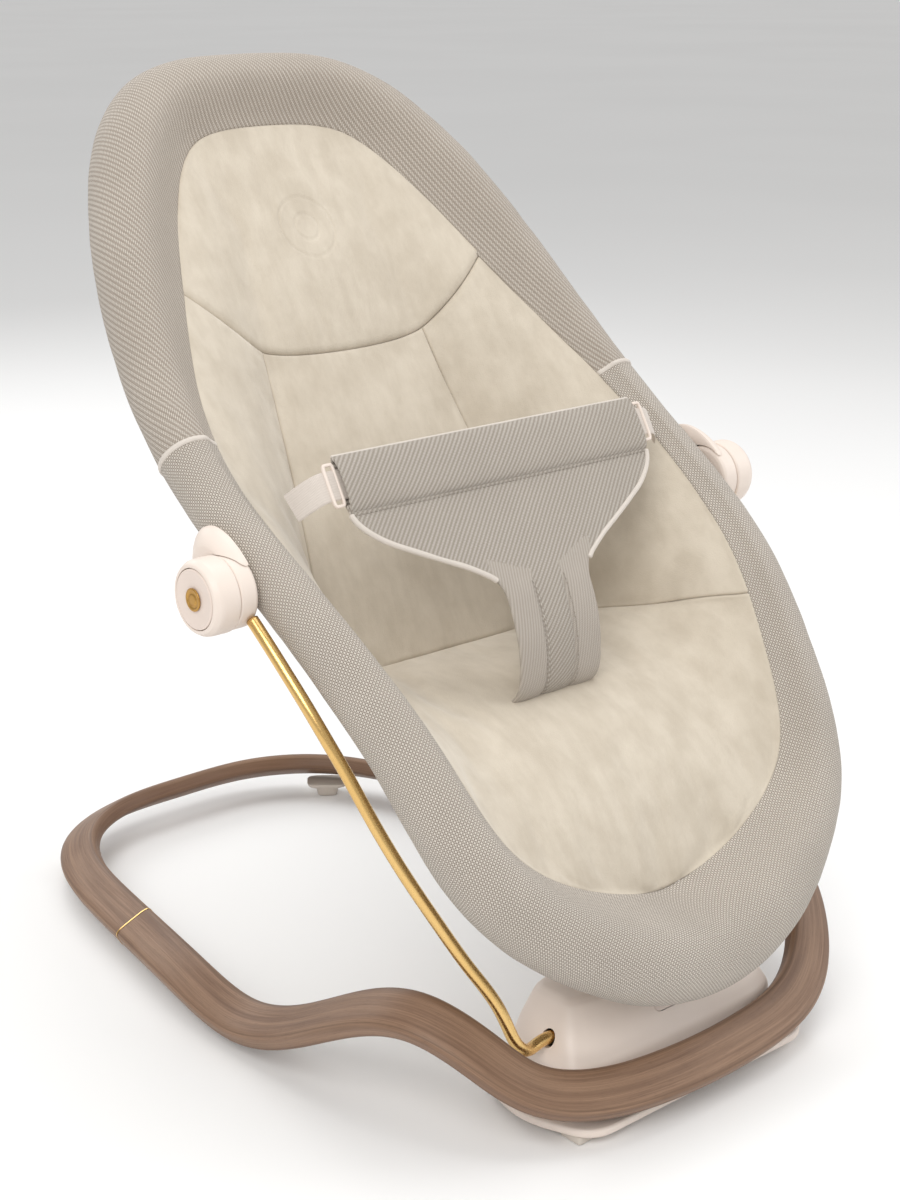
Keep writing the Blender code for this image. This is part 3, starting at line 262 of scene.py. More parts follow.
def dress(name, me, mat, smooth=True, sharp=None):
    bm = bmesh.new()
    bm.from_mesh(me)
    bmesh.ops.recalc_face_normals(bm, faces=bm.faces)
    bm.to_mesh(me)
    bm.free()
    me.update()
    if smooth:
        me.shade_smooth()
        if sharp:
            me.set_sharp_from_angle(angle=math.radians(sharp))
    ob = link(bpy.data.objects.new(name, me))
    if mat:
        me.materials.append(mat)
    return ob


def apply_mods(ob):
    deps = bpy.context.evaluated_depsgraph_get()
    me = bpy.data.meshes.new_from_object(ob.evaluated_get(deps), preserve_all_data_layers=True, depsgraph=deps)
    old = ob.data
    ob.modifiers.clear()
    ob.data = me
    bpy.data.meshes.remove(old)
    return ob


def boolean(ob, cutter, op="DIFFERENCE"):
    mod = ob.modifiers.new("cut", "BOOLEAN")
    mod.operation = op
    mod.solver = "EXACT"
    mod.object = cutter
    apply_mods(ob)
    bpy.data.objects.remove(cutter, do_unlink=True)
    return ob


def bevel(ob, width, segments=3, angle=35):
    mod = ob.modifiers.new("edge", "BEVEL")
    mod.width, mod.segments, mod.limit_method, mod.angle_limit = width, segments, "ANGLE", math.radians(angle)
    mod.harden_normals = False
    apply_mods(ob)
    ob.data.shade_smooth()
    ob.data.set_sharp_from_angle(angle=math.radians(40))
    return ob


def tube_rings(path, radius, sides=20, start_up=(0, 0, 1)):
    """Rings carried along a path without twist."""
    path = np.asarray(path, float)
    t = np.gradient(path, axis=0)
    t /= np.linalg.norm(t, axis=1)[:, None]
    up = np.array(start_up, float)
    up -= t[0] * (up @ t[0])
    up /= np.linalg.norm(up)
    rings, ups = [], []
    radius = np.broadcast_to(radius, len(path))
    ang = np.arange(sides) / sides * math.tau
    for p, d, r in zip(path, t, radius):
        up = up - d * (up @ d)
        up /= np.linalg.norm(up)
        side = np.cross(d, up)
        rings.append(p + r * (np.cos(ang)[:, None] * up + np.sin(ang)[:, None] * side))
        ups.append(up.copy())
    return np.array(rings)


def round_tube(name, path, radius, mat, sides=20, dome=True):
    """A bar with domed ends along a path."""
    path = np.asarray(path, float)
    r = np.full(len(path), radius, float)
    if dome:
        d0 = (path[1] - path[0]) / np.linalg.norm(path[1] - path[0])
        d1 = (path[-1] - path[-2]) / np.linalg.norm(path[-1] - path[-2])
        a = np.radians([85, 65, 40, 15])
        head = [path[0] - d0 * radius * math.sin(q) * 0.6 for q in a]
        tail = [path[-1] + d1 * radius * math.sin(q) * 0.6 for q in a[::-1]]
        r = np.r_[radius * np.cos(a), r, radius * np.cos(a[::-1])]
        path = np.vstack([head, path, tail])
    rings = tube_rings(path, 1.0, sides)
    rings = path[:, None, :] + (rings - path[:, None, :]) * r[:, None, None]
    s = np.r_[0, np.cumsum(np.linalg.norm(np.diff(path, axis=0), axis=1))]
    uv = np.stack(np.meshgrid(np.arange(sides + 1) / sides * math.tau * radius, s), -1)[..., ::-1]
    return grid(name, rings, mat, wrap_i=True, uv=uv, caps=True)


def fillet(profile, radius, seg=4):
    """Corners of a closed outline replaced by small arcs."""
    pts = [np.array(p, float) for p in profile]
    out, n = [], len(pts)
    for i in range(n):
        a, b, c = pts[i - 1], pts[i], pts[(i + 1) % n]
        la, lc = np.linalg.norm(a - b), np.linalg.norm(c - b)
        r = min(radius, la * 0.45, lc * 0.45)
        u, v = (a - b) / la, (c - b) / lc
        if abs(u @ v + 1) < 0.01 or r < 1e-6:
            out.append(b)
            continue
        for k in range(seg + 1):
            t = k / seg
            out.append(b + u * r * (1 - t) ** 2 + v * r * t ** 2)
    return np.array(out)


def lathe(name, profile, mat, side=1, steps=96, round_r=0.0004, centre=None, sharp=38):
    """A part turned about the hub axis; profile is a list of (distance outwards along X, radius)."""
    prof = [p for p in profile]
    on_axis = min(r for _, r in prof) < 1e-6
    if on_axis:
        inner = fillet([(prof[0][0], -prof[1][1])] + prof[1:-1] + [(prof[-1][0], -prof[-2][1])], round_r)
        inner = np.array([q for q in inner if q[1] > 1e-5])
    else:
        inner = fillet(prof, round_r)
    cy, cz = centre or (HUB_Y, HUB_Z)
    ang = np.arange(steps) / steps * math.tau
    P = np.stack([np.broadcast_to(side * inner[:, 0][:, None], (len(inner), steps)),
                  cy + inner[:, 1][:, None] * np.cos(ang), cz + inner[:, 1][:, None] * np.sin(ang)], -1)
    return grid(name, at(P), mat, wrap_i=True, wrap_j=not on_axis, caps=on_axis, sharp=sharp)


def box_mesh(name, centre, size, mat, rot=None, bevel_w=0.0, segments=3):
    bm = bmesh.new()
    bmesh.ops.create_cube(bm, size=1.0)
    bmesh.ops.scale(bm, vec=size, verts=bm.verts)
    me = bpy.data.meshes.new(name)
    bm.to_mesh(me)
    bm.free()
    m = Matrix.Translation(Vector(centre)) @ (rot.to_4x4() if rot else Matrix.Identity(4))
    me.transform(m)
    ob = link(bpy.data.objects.new(name, me))
    if mat:
        me.materials.append(mat)
    if bevel_w:
        bevel(ob, bevel_w, segments)
    return ob


def rod_mesh(name, p0, p1, radius, mat=None, sides=48):
    a, b = Vector(p0), Vector(p1)
    bm = bmesh.new()
    bmesh.ops.create_cone(bm, cap_ends=True, segments=sides, radius1=radius, radius2=radius, depth=(b - a).length)
    me = bpy.data.meshes.new(name)
    bm.to_mesh(me)
    bm.free()
    me.transform(Matrix.Translation((a + b) / 2) @ (b - a).to_track_quat("Z", "Y").to_matrix().to_4x4())
    ob = link(bpy.data.objects.new(name, me))
    if mat:
        me.materials.append(mat)
    return ob


def rounded_outline(pts, radius, seg=8):
    out, n = [], len(pts)
    for i in range(n):
        a, b, c = (Vector(pts[(i + k - 1) % n]) for k in range(3))
        u, v = (a - b).normalized(), (c - b).normalized()
        for k in range(seg + 1):
            t = k / seg
            p = b + u * radius * (1 - t) ** 2 + v * radius * t ** 2
            out.append((p.x, p.y))
    return out


def slab(name, outline, z0, z1, mat, bevel_w, segments=3):
    """A flat plate from a plan outline."""
    ring = np.array(outline)
    P = np.array([[(x, y + ORIGIN_Y, z) for x, y in ring] for z in (z0, z1)])
    ob = grid(name, P, mat, wrap_i=True, caps=True)
    return bevel(ob, bevel_w, segments, 50)


# ================================================================= material builder
def srgb(r, g, b):
    def lin(c):
        c /= 255.0
        return c / 12.92 if c <= 0.04045 else ((c + 0.055) / 1.055) ** 2.4
    return (lin(r), lin(g), lin(b), 1.0)


class Nodes:
    """Short way to write a node tree."""

    def __init__(self, name, rough=0.6, metal=0.0, **sockets):
        self.mat = bpy.data.materials.new(name)
        self.mat.use_nodes = True
        self.tree = self.mat.node_tree
        self.bsdf = self.tree.nodes["Principled BSDF"]
        self.bsdf.inputs["Roughness"].default_value = rough
        self.bsdf.inputs["Metallic"].default_value = metal
        for key, value in sockets.items():
            self.bsdf.inputs[key.replace("_", " ")].default_value = value

    def node(self, kind, values=None, **props):
        n = self.tree.nodes.new(kind)
        for key, value in props.items():
            setattr(n, key, value)
        for key, value in (values or {}).items():
            self.put(n.inputs[key], value)
        return n

    def put(self, socket, value):
        if isinstance(value, bpy.types.NodeSocket):
            self.tree.links.new(value, socket)
        else:
            socket.default_value = value

    def m(self, op, a, b=None, c=None, clamp=False):
        n = self.tree.nodes.new("ShaderNodeMath")
        n.operation = op
        n.use_clamp = clamp
        for i, v in enumerate((a, b, c)):
            if v is not None:
                self.put(n.inputs[i], v)
        return n.outputs[0]

    def step(self, x, lo, hi, to_lo=0.0, to_hi=1.0):
        n = self.node("ShaderNodeMapRange", {0: x, 1: lo, 2: hi, 3: to_lo, 4: to_hi}, interpolation_type="SMOOTHSTEP")
        return n.outputs[0]

    def mix(self, fac, a, b, blend="MIX"):
        n = self.node("ShaderNodeMix", data_type="RGBA", blend_type=blend)
        self.put(n.inputs[0], fac)
        self.put(n.inputs[6], a)
        self.put(n.inputs[7], b)
        return n.outputs[2]

    def obj(self):
        return self.node("ShaderNodeTexCoord").outputs["Object"]

    def uv(self, scale=(1, 1, 1), turn=0.0):
        u = self.node("ShaderNodeUVMap", uv_map="weave").outputs[0]
        return self.map(u, scale, turn)

    def map(self, vec, scale, turn=0.0):
        if turn:
            vec = self.node("ShaderNodeVectorRotate", {0: vec, 3: turn}, rotation_type="Z_AXIS").outputs[0]
        n = self.node("ShaderNodeMapping", {0: vec})
        n.inputs["Scale"].default_value = scale
        return n.outputs[0]

    def noise(self, vec, scale, detail=3.0, rough=0.55, dims="3D"):
        return self.node("ShaderNodeTexNoise", {"Vector": vec, "Scale": scale, "Detail": detail, "Roughness": rough},
                         noise_dimensions=dims).outputs[0]

    def attr(self, name):
        return self.node("ShaderNodeAttribute", attribute_name=name).outputs["Fac"]

    def bump(self, height, distance, strength=1.0, normal=None):
        n = self.node("ShaderNodeBump", {"Height": height, "Distance": distance, "Strength": strength})
        if normal is not None:
            self.put(n.inputs["Normal"], normal)
        self.put(self.bsdf.inputs["Normal"], n.outputs[0])
        return n.outputs[0]

    def colour(self, value):
        self.put(self.bsdf.inputs["Base Color"], value)

    def rough(self, value):
        self.put(self.bsdf.inputs["Roughness"], value)


def weave_material(name, light, dark, tone, cell=0.0015, turn=0.0, twill=False, depth=0.00045, hole=(0.18, 0.62), tint=0.0):
    """Woven mesh: two sets of threads that pass over and under, with a hole at each crossing's corner."""
    w = Nodes(name, 0.85, Sheen_Weight=0.12, Sheen_Roughness=0.5)
    uv = w.uv((1 / cell, 1 / cell, 1), turn)
    wobble = w.noise(w.uv((1, 1, 1), turn), 260.0, 1.0)
    sep = w.node("ShaderNodeSeparateXYZ", {0: uv})
    u = w.m("ADD", sep.outputs[0], w.m("MULTIPLY", w.m("SUBTRACT", wobble, 0.5), 0.35))
    v = sep.outputs[1]
    fu, fv = w.m("SUBTRACT", w.m("FRACT", u), 0.5), w.m("SUBTRACT", w.m("FRACT", v), 0.5)
    total = w.m("ADD", w.m("FLOOR", u), w.m("FLOOR", v))
    if twill:
        over = w.m("LESS_THAN", w.m("FLOORED_MODULO", total, 4.0), 1.5)
    else:
        over = w.m("LESS_THAN", w.m("FLOORED_MODULO", total, 2.0), 0.5)
    cu = w.m("COSINE", w.m("MULTIPLY", fu, math.pi))
    cv = w.m("COSINE", w.m("MULTIPLY", fv, math.pi))
    warp = w.m("MULTIPLY", w.m("POWER", cu, 0.7), w.m("MULTIPLY_ADD", cv, 0.5, 0.5))
    weft = w.m("MULTIPLY", w.m("POWER", cv, 0.7), w.m("MULTIPLY_ADD", cu, 0.35, 0.45))
    h = w.m("ADD", w.m("MULTIPLY", warp, over), w.m("MULTIPLY", weft, w.m("SUBTRACT", 1.0, over)))
    fac = w.step(h, hole[0], hole[1])
    base = w.mix(w.step(over, 0.0, 1.0), tone, light)
    col = w.mix(fac, dark, base)
    cloud = w.noise(w.obj(), 14.0, 2.0)
    col = w.mix(w.step(cloud, 0.3, 0.7, 0.0, 0.10), col, dark)
    w.colour(col)
    w.bump(h, depth)
    return w.mat


def velour_material(name, light, dark):
    w = Nodes(name, 0.92, Sheen_Weight=0.35, Sheen_Roughness=0.45)
    o = w.obj()
    patches = w.noise(o, 26.0, 4.0, 0.6)
    streak = w.noise(w.map(o, (1.0, 0.35, 0.35)), 90.0, 3.0, 0.6)
    fibre = w.noise(o, 900.0, 2.0, 0.7)
    fac = w.m("ADD", w.m("MULTIPLY", w.step(patches, 0.32, 0.68), 0.55), w.m("MULTIPLY", w.step(streak, 0.3, 0.7), 0.45))
    col = w.mix(fac, dark, light)
    col = w.mix(w.step(fibre, 0.2, 0.8, 0.0, 0.16), col, dark)
    w.colour(col)
    w.rough(w.step(patches, 0.2, 0.8, 0.86, 0.97))
    w.bump(w.m("ADD", w.m("MULTIPLY", fibre, 0.7), w.m("MULTIPLY", patches, 0.6)), 0.00035)
    return w.mat


def satin_material(name, light, dark, pitch=0.0009, rough=0.5):
    """Narrow woven tape with fine ribs across its length."""
    w = Nodes(name, rough, Sheen_Weight=0.25, Sheen_Roughness=0.3)
    sep = w.node("ShaderNodeSeparateXYZ", {0: w.uv((1 / pitch, 1 / pitch, 1))})
    rib = w.m("COSINE", w.m("MULTIPLY", sep.outputs[0], math.tau))
    cross = w.m("COSINE", w.m("MULTIPLY", sep.outputs[1], math.tau * 0.5))
    h = w.m("MULTIPLY_ADD", w.m("ADD", rib, w.m("MULTIPLY", cross, 0.4)), 0.35, 0.5)
    grain = w.noise(w.obj(), 420.0, 2.0)
    col = w.mix(w.step(h, 0.0, 1.0), dark, light)
    col = w.mix(w.step(grain, 0.3, 0.7, 0.0, 0.25), col, dark)
    w.colour(col)
    w.rough(w.step(grain, 0.2, 0.8, rough - 0.08, rough + 0.12))
    w.bump(h, 0.00012)
    return w.mat


def moulding_material(name, colour, shade, rough=0.42, grain=1400.0, coat=0.0):
    w = Nodes(name, rough, Coat_Weight=coat, Coat_Roughness=0.3)
    o = w.obj()
    fine = w.noise(o, grain, 2.0)
    broad = w.noise(o, 18.0, 3.0)
    w.colour(w.mix(w.step(broad, 0.25, 0.75, 0.0, 0.5), colour, shade))
    w.rough(w.step(broad, 0.2, 0.8, rough - 0.04, rough + 0.08))
    w.bump(fine, 0.00006)
    return w.mat


def metal_material(name, colour, shade, rough=0.28, brushed=(1.0, 1.0, 1.0)):
    w = Nodes(name, rough, 1.0)
    o = w.map(w.obj(), brushed)
    fine = w.noise(o, 700.0, 3.0)
    broad = w.noise(w.obj(), 12.0, 2.0)
    w.colour(w.mix(w.step(broad, 0.3, 0.7, 0.0, 0.6), colour, shade))
    w.rough(w.step(fine, 0.2, 0.8, rough - 0.05, rough + 0.08))
    w.bump(fine, 0.00003)
    return w.mat


def wood_material(name):
    """Bent walnut: fine grain along the bar and darker at its edges; its under and inner faces are darker, partly for
    their own veneer and partly as painted shade.
    """
    w = Nodes(name, 0.5, Coat_Weight=0.12, Coat_Roughness=0.35)
    uv = w.uv()
    drift = w.noise(w.map(uv, (3.0, 3.0, 1)), 1.0, 2.0)
    shifted = w.node("ShaderNodeVectorMath", {0: uv, 1: w.node("ShaderNodeCombineXYZ", {1: w.m("MULTIPLY", drift, 0.012)}).outputs[0]},
                     operation="ADD").outputs[0]
    bands = w.noise(w.map(shifted, (4.5, 190.0, 1)), 1.0, 3.0, 0.6)
    lines = w.noise(w.map(shifted, (16.0, 1500.0, 1)), 1.0, 3.0, 0.65)
    pores = w.noise(w.map(shifted, (110.0, 3800.0, 1)), 1.0, 2.0, 0.5)
    clouds = w.noise(w.map(uv, (9.0, 40.0, 1)), 1.0, 2.0)
    col = w.mix(w.step(bands, 0.3, 0.72), srgb(112, 82, 61), srgb(150, 118, 93))
    col = w.mix(w.step(lines, 0.35, 0.75, 0.0, 0.55), col, srgb(96, 68, 49))
    col = w.mix(w.step(clouds, 0.35, 0.7, 0.0, 0.35), col, srgb(158, 128, 104))
    col = w.mix(w.step(pores, 0.60, 0.72, 0.0, 0.55), col, srgb(70, 48, 34))
    # painted shade and veneer: under and inner faces darkened, partly for their own veneer face and partly for the
    # shade that falls on them
    col = w.mix(w.m("MULTIPLY", w.attr("shade_and_veneer_face"), 0.62), col, srgb(98, 66, 42))
    col = w.mix(w.m("MULTIPLY", w.attr("edge"), 0.55), col, srgb(72, 50, 36))
    w.colour(col)
    w.rough(w.step(lines, 0.3, 0.7, 0.44, 0.60))
    w.bump(w.m("ADD", w.m("MULTIPLY", lines, 0.6), w.m("MULTIPLY", pores, -0.5)), 0.00014)
    return w.mat


M = {
    "rim_low": weave_material("rim_mesh_lower", srgb(214, 206, 196), srgb(118, 108, 97), srgb(178, 168, 157), 0.0015, 0.0),
    "rim_high": weave_material("rim_mesh_upper", srgb(203, 194, 183), srgb(128, 117, 105), srgb(172, 161, 149), 0.00125, 0.35, True, 0.0004),
    "sling": weave_material("sling_mesh", srgb(200, 191, 180), srgb(120, 110, 98), srgb(168, 158, 147), 0.0015, 0.0),
    "belt": weave_material("belt_mesh", srgb(196, 188, 178), srgb(124, 115, 104), srgb(166, 157, 147), 0.0011, 0.0, True, 0.0003),
    "belt_side": weave_material("belt_side_mesh", srgb(193, 184, 174), srgb(140, 131, 121), srgb(176, 167, 157), 0.0009, 0.6, True, 0.0002),
    "velour": velour_material("pad_velour", srgb(208, 198, 182), srgb(190, 179, 162)),
    "tape": satin_material("webbing_tape", srgb(216, 206, 197), srgb(196, 186, 177)),
    # piping colour, also used for the light strip on the belt's top fold, which is a painted highlight
    "piping": satin_material("piping_tape", srgb(222, 214, 205), srgb(200, 191, 182), 0.0007, 0.6),
    "stitch": satin_material("stitch_thread", srgb(176, 166, 154), srgb(140, 130, 118), 0.0005, 0.7),
    "cream": moulding_material("cream_moulding", srgb(230, 217, 207), srgb(224, 210, 199), 0.40),
    "cream_face": moulding_material("cream_button", srgb(224, 209, 199), srgb(219, 203, 192), 0.36),
    "rubber": moulding_material("foot_moulding", srgb(208, 199, 189), srgb(198, 188, 178), 0.72, 900.0),
    "gold": metal_material("gold_tube", srgb(228, 192, 128), srgb(214, 174, 108), 0.24),
    "gold_mark": metal_material("gold_mark_metal", srgb(196, 154, 88), srgb(180, 138, 74), 0.30),
    "steel": metal_material("zinc_steel", srgb(176, 178, 182), srgb(160, 162, 166), 0.34),
    "acetal": moulding_material("acetal_moulding", srgb(236, 236, 231), srgb(228, 228, 222), 0.38),
    "walnut": wood_material("bent_walnut"),
}

# ================================================================= floor ring
def ring_point(s):
    return mirrored_half(RING_PATH, s)


def ring_surface(s_arr, grow=0.0, sides=44, power=0.42):
    s_arr = np.asarray(s_arr, float)
    c = ring_point(s_arr)
    t = direction(ring_point, s_arr)
    tilt = np.radians(np.interp(np.abs(s_arr), [q[0] for q in RING_TILT_DEG], [q[1] for q in RING_TILT_DEG]))
    out = np.cross((0, 0, 1.0), t)
    out /= np.linalg.norm(out, axis=1)[:, None]
    out *= np.sign(np.einsum("ij,ij->i", out, c - np.array((0, -0.05, 0))))[:, None]
    up = np.cross(t, out)
    up *= np.sign(up[:, 2])[:, None]
    ew = -out * np.cos(tilt)[:, None] + up * np.sin(tilt)[:, None]
    en = out * np.sin(tilt)[:, None] + up * np.cos(tilt)[:, None]
    a = (np.arange(sides) + 0.5) / sides * math.tau
    x = np.sign(np.cos(a)) * np.abs(np.cos(a)) ** power * (RING_WIDTH / 2 + grow)
    y = np.sign(np.sin(a)) * np.abs(np.sin(a)) ** power * (RING_THICK / 2 + grow)
    P = c[:, None, :] + ew[:, None, :] * x[None, :, None] + en[:, None, :] * y[None, :, None]
    xy = np.stack([x, y], -1)
    arc = np.r_[0, np.cumsum(np.linalg.norm(np.diff(np.vstack([xy, xy[:1]]), axis=0), axis=1))]
    length = np.r_[0, np.cumsum(np.linalg.norm(np.diff(c, axis=0), axis=1))]
    uv = np.stack(np.meshgrid(arc, length), -1)[..., ::-1]
    fx, fy = np.abs(x) / (RING_WIDTH / 2 + grow), np.abs(y) / (RING_THICK / 2 + grow)
    edge = np.clip(1 - np.abs(fx - fy * 1.0 + 0.02) * 9.0, 0, 1) * (np.minimum(fx, fy) > 0.75)
    # under face and inner side face, marked to be darkened: partly their own veneer, partly painted shade
    shade_and_veneer_face = np.where(y < -0.0035, 1.0, 0.0) + np.where((x > 0.012) & (y <= 0.0035) & (y > -0.0035), 0.85, 0.0)
    return P, uv, np.broadcast_to(edge, P.shape[:2]), np.broadcast_to(np.clip(shade_and_veneer_face, 0, 1), P.shape[:2])


def ring_s_at_y(y):
    lo, hi = 0.1, 0.6
    for _ in range(50):
        mid = (lo + hi) / 2
        if ring_point([mid])[0][1] > y:
            lo = mid
        else:
            hi = mid
    return lo


HALF_LEN = np.linalg.norm(np.diff(ring_point(np.linspace(0, 1, 400)), axis=0), axis=1).sum()
S_JOINT = ring_s_at_y(RING_JOINT_Y)
DS_INLAY, DS_GAP = (INLAY_LEN / 2) / HALF_LEN, GAP / HALF_LEN
rear_s, front_s = S_JOINT - DS_INLAY - DS_GAP, S_JOINT + DS_INLAY + DS_GAP


def ring_piece(name, node, s_list):
    P, uv, edge, shade_and_veneer_face = ring_surface(s_list)
    ob = grid(name, at(P), M["walnut"], wrap_i=True, uv=uv, caps=True, sharp=60, extra={"edge": edge, "shade_and_veneer_face": shade_and_veneer_face})
    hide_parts(node)
    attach(ob, "base")
    return ob


ring_piece("wood_ring_rear", "base_ring_rear", np.linspace(-rear_s, rear_s, 150))
ring_piece("wood_ring_front", "base_ring_front", np.r_[np.linspace(front_s, 1, 130), -np.linspace(1, front_s, 130)[1:]])
for tag, sg in SIDES:
    P, uv, _, _ = ring_surface(sg * np.linspace(S_JOINT - DS_INLAY, S_JOINT + DS_INLAY, 3), grow=0.0003)
    ob = grid("inlay_band_" + tag, at(P), M["gold"], wrap_i=True, uv=uv, caps=True, sharp=60)
    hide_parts("ring_inlay_" + tag)
    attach(ob, "base")

# ================================================================= front housing, tray and feet
COVER = [(0.0133, 0.1040, -0.3800, -0.2900), (0.0380, 0.1060, -0.3775, -0.2920), (0.0430, 0.1065, -0.3765, -0.2930),
         (0.0590, 0.1000, -0.3665, -0.2960), (0.0760, 0.0890, -0.3535, -0.3000), (0.0810, 0.0853, -0.3485, -0.3027),
         (0.0825, 0.0832, -0.3462, -0.3045), (0.0830, 0.0810, -0.3440, -0.3060)]


def cover_sections(inner=0.0):
    z = np.r_[np.linspace(0.0133, 0.036, 6), np.linspace(0.038, 0.048, 8), np.linspace(0.051, 0.078, 10), np.linspace(0.0797, 0.0830, 8)]
    tab = np.array(COVER)
    rows = [np.interp(z, tab[:, 0], tab[:, k]) for k in range(4)]
    out = np.stack(rows, -1)
    for _ in range(2):          # soften the kinks between the straight stretches
        out[1:-1, 1:] = (out[:-2, 1:] + 2 * out[1:-1, 1:] + out[2:, 1:]) / 4
    return out


def soft_box(name, rows, mat, power=0.36, sides=128, extra_top=True):
    a = (np.arange(sides) + 0.5) / sides * math.tau
    ca, sa = np.cos(a), np.sin(a)
    rings = []
    for z, hx, y0, y1 in rows:
        cy, hy = (y0 + y1) / 2, (y1 - y0) / 2
        rings.append(np.stack([np.sign(ca) * np.abs(ca) ** power * hx, cy + np.sign(sa) * np.abs(sa) ** power * hy, np.full(sides, z)], -1))
    return grid(name, at(np.array(rings)), mat, wrap_i=True, caps=True, sharp=50)


cover = soft_box("front_housing_shell", cover_sections(), M["cream"])
hollow = [(0.008, 0.1010, -0.3770, -0.2930), (0.0430, 0.1030, -0.3730, -0.2960), (0.0590, 0.0965, -0.3625, -0.2990),
          (0.0760, 0.0855, -0.3490, -0.3035), (0.0796, 0.0820, -0.3440, -0.3065)]
boolean(cover, soft_box("hollow", hollow, None, sides=64))
for tag, sg in SIDES:
    boolean(cover, rod_mesh("window", at((sg * 0.080, AXLE_Y, AXLE_Z)), at((sg * 0.125, AXLE_Y, AXLE_Z)), 0.0062))
SLOPE = math.atan2(0.0135, 0.0170)
FACE_N = np.array((0, -math.cos(SLOPE), math.sin(SLOPE)))
FACE_U = np.array((0, math.sin(SLOPE), math.cos(SLOPE)))
PLATE_C = at((0, -0.3599, 0.0673))


def plate(name, width, height, radius, thick, mat, depth, seg=10):
    out = rounded_outline([(-width / 2, -height / 2), (width / 2, -height / 2), (width / 2, height / 2), (-width / 2, height / 2)], radius, seg)
    rings = [[PLATE_C + FACE_N * (d + depth) + np.array((x, 0, 0)) + FACE_U * y for x, y in out] for d in (-thick / 2, thick / 2)]
    return grid(name, np.array(rings), mat, wrap_i=True, caps=True, sharp=40)


boolean(cover, plate("pocket", 0.0388, 0.0210, 0.0055, 0.0200, None, 0.0))
cover.data.shade_smooth()
cover.data.set_sharp_from_angle(angle=math.radians(42))
latch = bevel(plate("front_latch_plate", 0.0378, 0.0200, 0.0050, 0.0040, M["cream_face"], -0.0020), 0.0005, 3, 60)
tray = slab("tray_plate", rounded_outline([(-0.132, -0.345), (-0.112, -0.398), (0.112, -0.398), (0.132, -0.345), (0.118, -0.285), (-0.118, -0.285)], 0.020),
            TRAY_Z0, TRAY_Z1, M["cream"], 0.0022, 4)
for ob, node, slot, body in ((cover, "housing_cover", "cream_plastic", "base"), (tray, "base_tray", "cream_plastic", "base"),
                             (latch, "front_latch", "cream_plastic", "latch")):
    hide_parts(node)
    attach(ob, body)
for tag, sg in SIDES:
    foot = slab("front_pad_foot_" + tag, rounded_outline([(sg * 0.101 - 0.014, -0.3870), (sg * 0.101 + 0.014, -0.3850), (sg * 0.101 + 0.014, -0.3670),
                                                          (sg * 0.101 - 0.014, -0.3670)], 0.003, 5), 0.0, TRAY_Z0 - GAP, M["rubber"], 0.0010, 3)
    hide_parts("front_foot_" + tag)
    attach(foot, "base")
    rows = [(0.0, 0.0088, 0.0088), (0.0008, 0.0095, 0.0095), (0.0065, 0.0104, 0.0104), (0.0074, 0.0112, 0.0108), (0.0092, 0.0176, 0.0122),
            (0.0100, 0.0186, 0.0127), (0.0120, 0.0194, 0.0130), (0.0125, 0.0189, 0.0126)]
    ang, n = math.radians(-38 * sg), 56
    a = (np.arange(n) + 0.5) / n * math.tau
    ring = []
    for z, hx, hy in rows:
        x = np.sign(np.cos(a)) * np.abs(np.cos(a)) ** 0.45 * hx
        y = np.sign(np.sin(a)) * np.abs(np.sin(a)) ** 0.45 * hy
        ring.append(np.stack([sg * 0.137 + x * math.cos(ang) - y * math.sin(ang), 0.216 + x * math.sin(ang) + y * math.cos(ang), np.full(n, z)], -1))
    foot = grid("rear_pad_foot_" + tag, at(np.array(ring)), M["rubber"], wrap_i=True, caps=True, sharp=50)
    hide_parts("rear_foot_" + tag)
    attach(foot, "base")

# ================================================================= leg tubes
leg_pts, _ = spline(LEG_PATH, count=220)
for tag, sg in SIDES:
    path = at(leg_pts * np.array((sg, 1, 1)))
    ob = round_tube("gold_leg_" + tag, path, LEG_R, M["gold"], 28, dome=False)
    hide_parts("leg_tube_" + tag)
    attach(ob, "legs")

